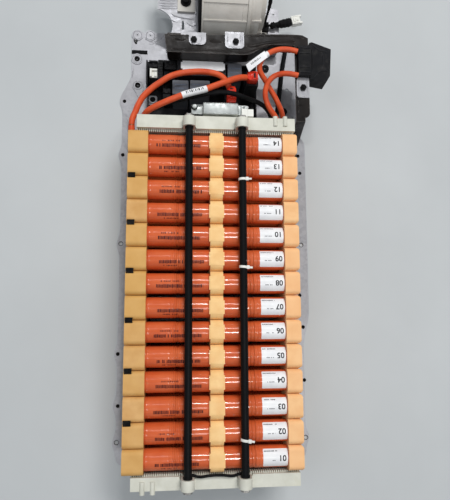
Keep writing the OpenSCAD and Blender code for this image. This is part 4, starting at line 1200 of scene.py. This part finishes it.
def make_tray_trim():
    """Dark cups in nine holes, weld nut bosses, collars, clips and pressings on the tray, with painted shade:
    dark rings round the four mount holes and a black rubber bar in the slot by the edge.
    """
    nuts_and_hole_shade = Piece()
    nuts_and_hole_shade.lathes([(0, 0.15), (3.25, 0.15), (3.25, 1.7), (2.6, 2.1), (1.5, 2.0), (1.3, 0.7), (0, 0.7)],
                ((-165, 381), (-166, 273), (-165, -194), (-167, -102), (173, 4), (178, -56), (178, -154),
                 (176, 279), (179, 244)))
    # Dark rings round the four mount holes: painted shade of the open bores
    nuts_and_hole_shade.lathes([(3.55, 1.5), (4.4, 1.5), (4.3, 2.1), (3.65, 2.1)],
                ((-166, -257), (-166, 101), (178, -257), (178, 101)))
    nuts_and_hole_shade.lathes([(1.9, 0.3), (4.3, 0.3), (4.3, 3.3), (5.3, 3.35), (5.3, 4.1), (4.6, 4.5), (2.6, 4.3),
                 (1.9, 3.4)], NUT_BOSSES, 36)
    nuts_and_hole_shade.done("weld_nuts_and_hole_shade", "steel", look="dark_steel")
    collars = Piece()
    collars.lathes([(1.3, 0.3), (3.3, 0.3), (3.3, 3.1), (1.6, 3.1), (1.3, 2.8)], HOLE_BOSSES)
    collars.done("boss_collars", "galvanised")
    # A black rubber bar filling the slot by the tray's edge: painted shade of the slot
    strip = Piece()
    strip.box((-152.4, 480.3, 0.1), (-122.3, 486.7, 1.7), 0.1)
    strip.box((-152.8, 479.6, 1.7), (-122, 487.4, 2.6), 0.3)
    strip.done("edge_slot_shade", "black_rubber")
    clips, studs = Piece(), Piece()
    hook(clips, studs, -146, 506.5, 1.7, 2.0, 14)
    hook(clips, studs, 41, 449.6, 112.3)
    hook(clips, studs, 161, 368.2, 112.3, 1.8, 10)
    clips.done("spring_clips", "steel", look="dark_steel")
    studs.done("clip_studs", "steel")
    press = Piece()
    ridges(press, TRAY_TOP, (
        ([(-88, 525), (-94, 517), (-102, 510.4), (-111, 506), (-121, 504.4)], 0.8, 0.7),
        ([(-84, 519.6), (-91, 512.4), (-100, 506.4), (-110, 502.6), (-121, 501.4)], 0.8, 0.7),
        ([(-160, 352), (-157, 330), (-156.5, 300), (-156.5, 275)], 1.2, 0.7),
        ([(-148, 452), (-150, 440), (-152, 428)], 1.0, 0.6)))
    ridges(press, RAISED_TRAY_TOP, [([(-128, 408), (-132, 392), (-134, 378)], 0.9, 0.6)])
    for boss in HOLE_BOSSES + NUT_BOSSES:
        press.tube([Vector((x, y, RAISED_TRAY_TOP)) for x, y in arc(boss, 8.6, 0, 360, 28)], 0.7, 8)
    press.done("tray_pressings", "galvanised")


make_tray_trim()


def make_bracket_trim():
    """Pressings in the blower's bracket, and its bush with the nut."""
    press = Piece()
    ridges(press, BRACKET_TOP, [([(-98, y), (-80, y + 0.4), (-64, y + 0.8)], 1.5, 1.1)
                                for y in (540, 545, 550, 556)])
    ridges(press, BRACKET_TOP, (
        ([(-76, 531), (-70, 527), (-58, 523.4), (-44, 521.6), (-30, 521)], 1.5, 1.2),
        ([(-79, 520), (-70, 515), (-62, 512.6)], 1.0, 0.8),
        ([(-46, 514), (-40, 508.6), (-34, 507), (-27, 510)], 1.2, 1.0)))
    press.box((-26.4, 474, 61.8), (-24.6, 531, 69), 0.4)
    press.done("bracket_pressings", "galvanised")
    place = (-47.5, 552, 0)
    bush = Piece()
    bush.lathe([(7.1, 66.5), (9.2, 66.5), (9.8, 67.2), (9.8, 69), (9, 70), (7.6, 70), (7.1, 69.2)], place)
    bush.done("bush_flange", "black_rubber")
    nut = Piece()
    nut.lathe([(0, 70.3), (4.2, 70.3), (4.2, 70.9), (2.8, 71.1), (2.8, 72.6), (2.2, 73), (0, 73)], place)
    nut.done("bush_nut", "steel")


make_bracket_trim()


# ---- blower --------------------------------------------------------------

BLOWER_AT = Vector((0, 553, 78))
SCROLL_R = 72


def scroll_patches(piece, rows):
    """Blocks that follow the scroll. A row holds the two ends in X, the two angles in degrees
    from the top towards -Y, the inner and outer radius from the scroll's, and the bevel."""
    for x0, x1, start, end, inner, outer, bevel in rows:
        count = max(3, round((end - start) / 4))
        outline = arc((0, 0), SCROLL_R + outer, 90 + start, 90 + end, count)
        outline += arc((0, 0), SCROLL_R + inner, 90 + end, 90 + start, count)
        piece.prism(outline, x0, x1, bevel, 2, Matrix.Translation(BLOWER_AT) @ ALONG_X)


def make_blower():
    """Panels and flanges of the scroll, its recess in a lighter copy of the cream plastic as painted light,
    and a black ring at the inlet as painted shade of the scroll's flange.
    """
    shell, shade = Piece(), Piece()
    scroll_patches(shell, (
        (-19.4, 61, -30, 60, -1, 2.6, 0.6),
        (-19.4, 61, -30, 38, 2, 4.4, 0.6),
        (61.6, 67.4, -40, 96, -1, 3.4, 0.7),
        (-8.6, -7.4, 38, 60, 2, 3.2, 0.3),
        (52.4, 53.6, 38, 60, 2, 3.2, 0.3),
        (-19.8, 61, 60, 62, -1, 4, 0.5),
        (70.4, 88, -30, 24, -12, 1, 0.8),
        (70.4, 86, 24, 60, -12, -1.5, 0.8),
        (70.4, 88, 60, 62, -12, 0.6, 0.5)))
    # The recess faces away from the lamps and takes the lighter cream: painted light
    scroll_patches(shade, (
        (-19, 61, 62.2, 100, -1, 0.9, 0.2),
        (70.4, 84, 62, 88, -12, -2.2, 0.5)))
    shell.done("scroll_panels", "cream_plastic")
    shade.done("scroll_recess", "cream_plastic", look="cream_recess_painted_light")
    # A black ring on the inlet flange: painted shade of the flange's side
    flange_shade = Piece()
    flange_shade.lathe([(60, -24.6), (76, -24.6), (76.4, -24), (76.4, -20.6), (76, -20.2), (60, -20.2)], BLOWER_AT,
               "X", 96)
    flange_shade.done("inlet_flange_shade", "black_rubber")


make_blower()


def make_socket_folds():
    """Folds and ribs on the service plug's socket."""
    folds = Piece()
    ridges(folds, SOCKET_TOP, (
        ([(178, 450), (190, 440), (206, 436)], 1.6, 1.0),
        ([(182, 388), (188, 396), (200, 401), (208, 398)], 1.8, 1.2),
        ([(177, 392), (179, 420), (177, 446)], 1.2, 1.2),
        ([(196, 404), (199, 420), (196, 434)], 1.4, 0.9)))
    for y in (392, 402, 428, 438):
        folds.box((153.6, y, 121.8), (172.4, y + 2.2, 123), 0.4)
    folds.done("socket_ribs", "black_plastic")


make_socket_folds()
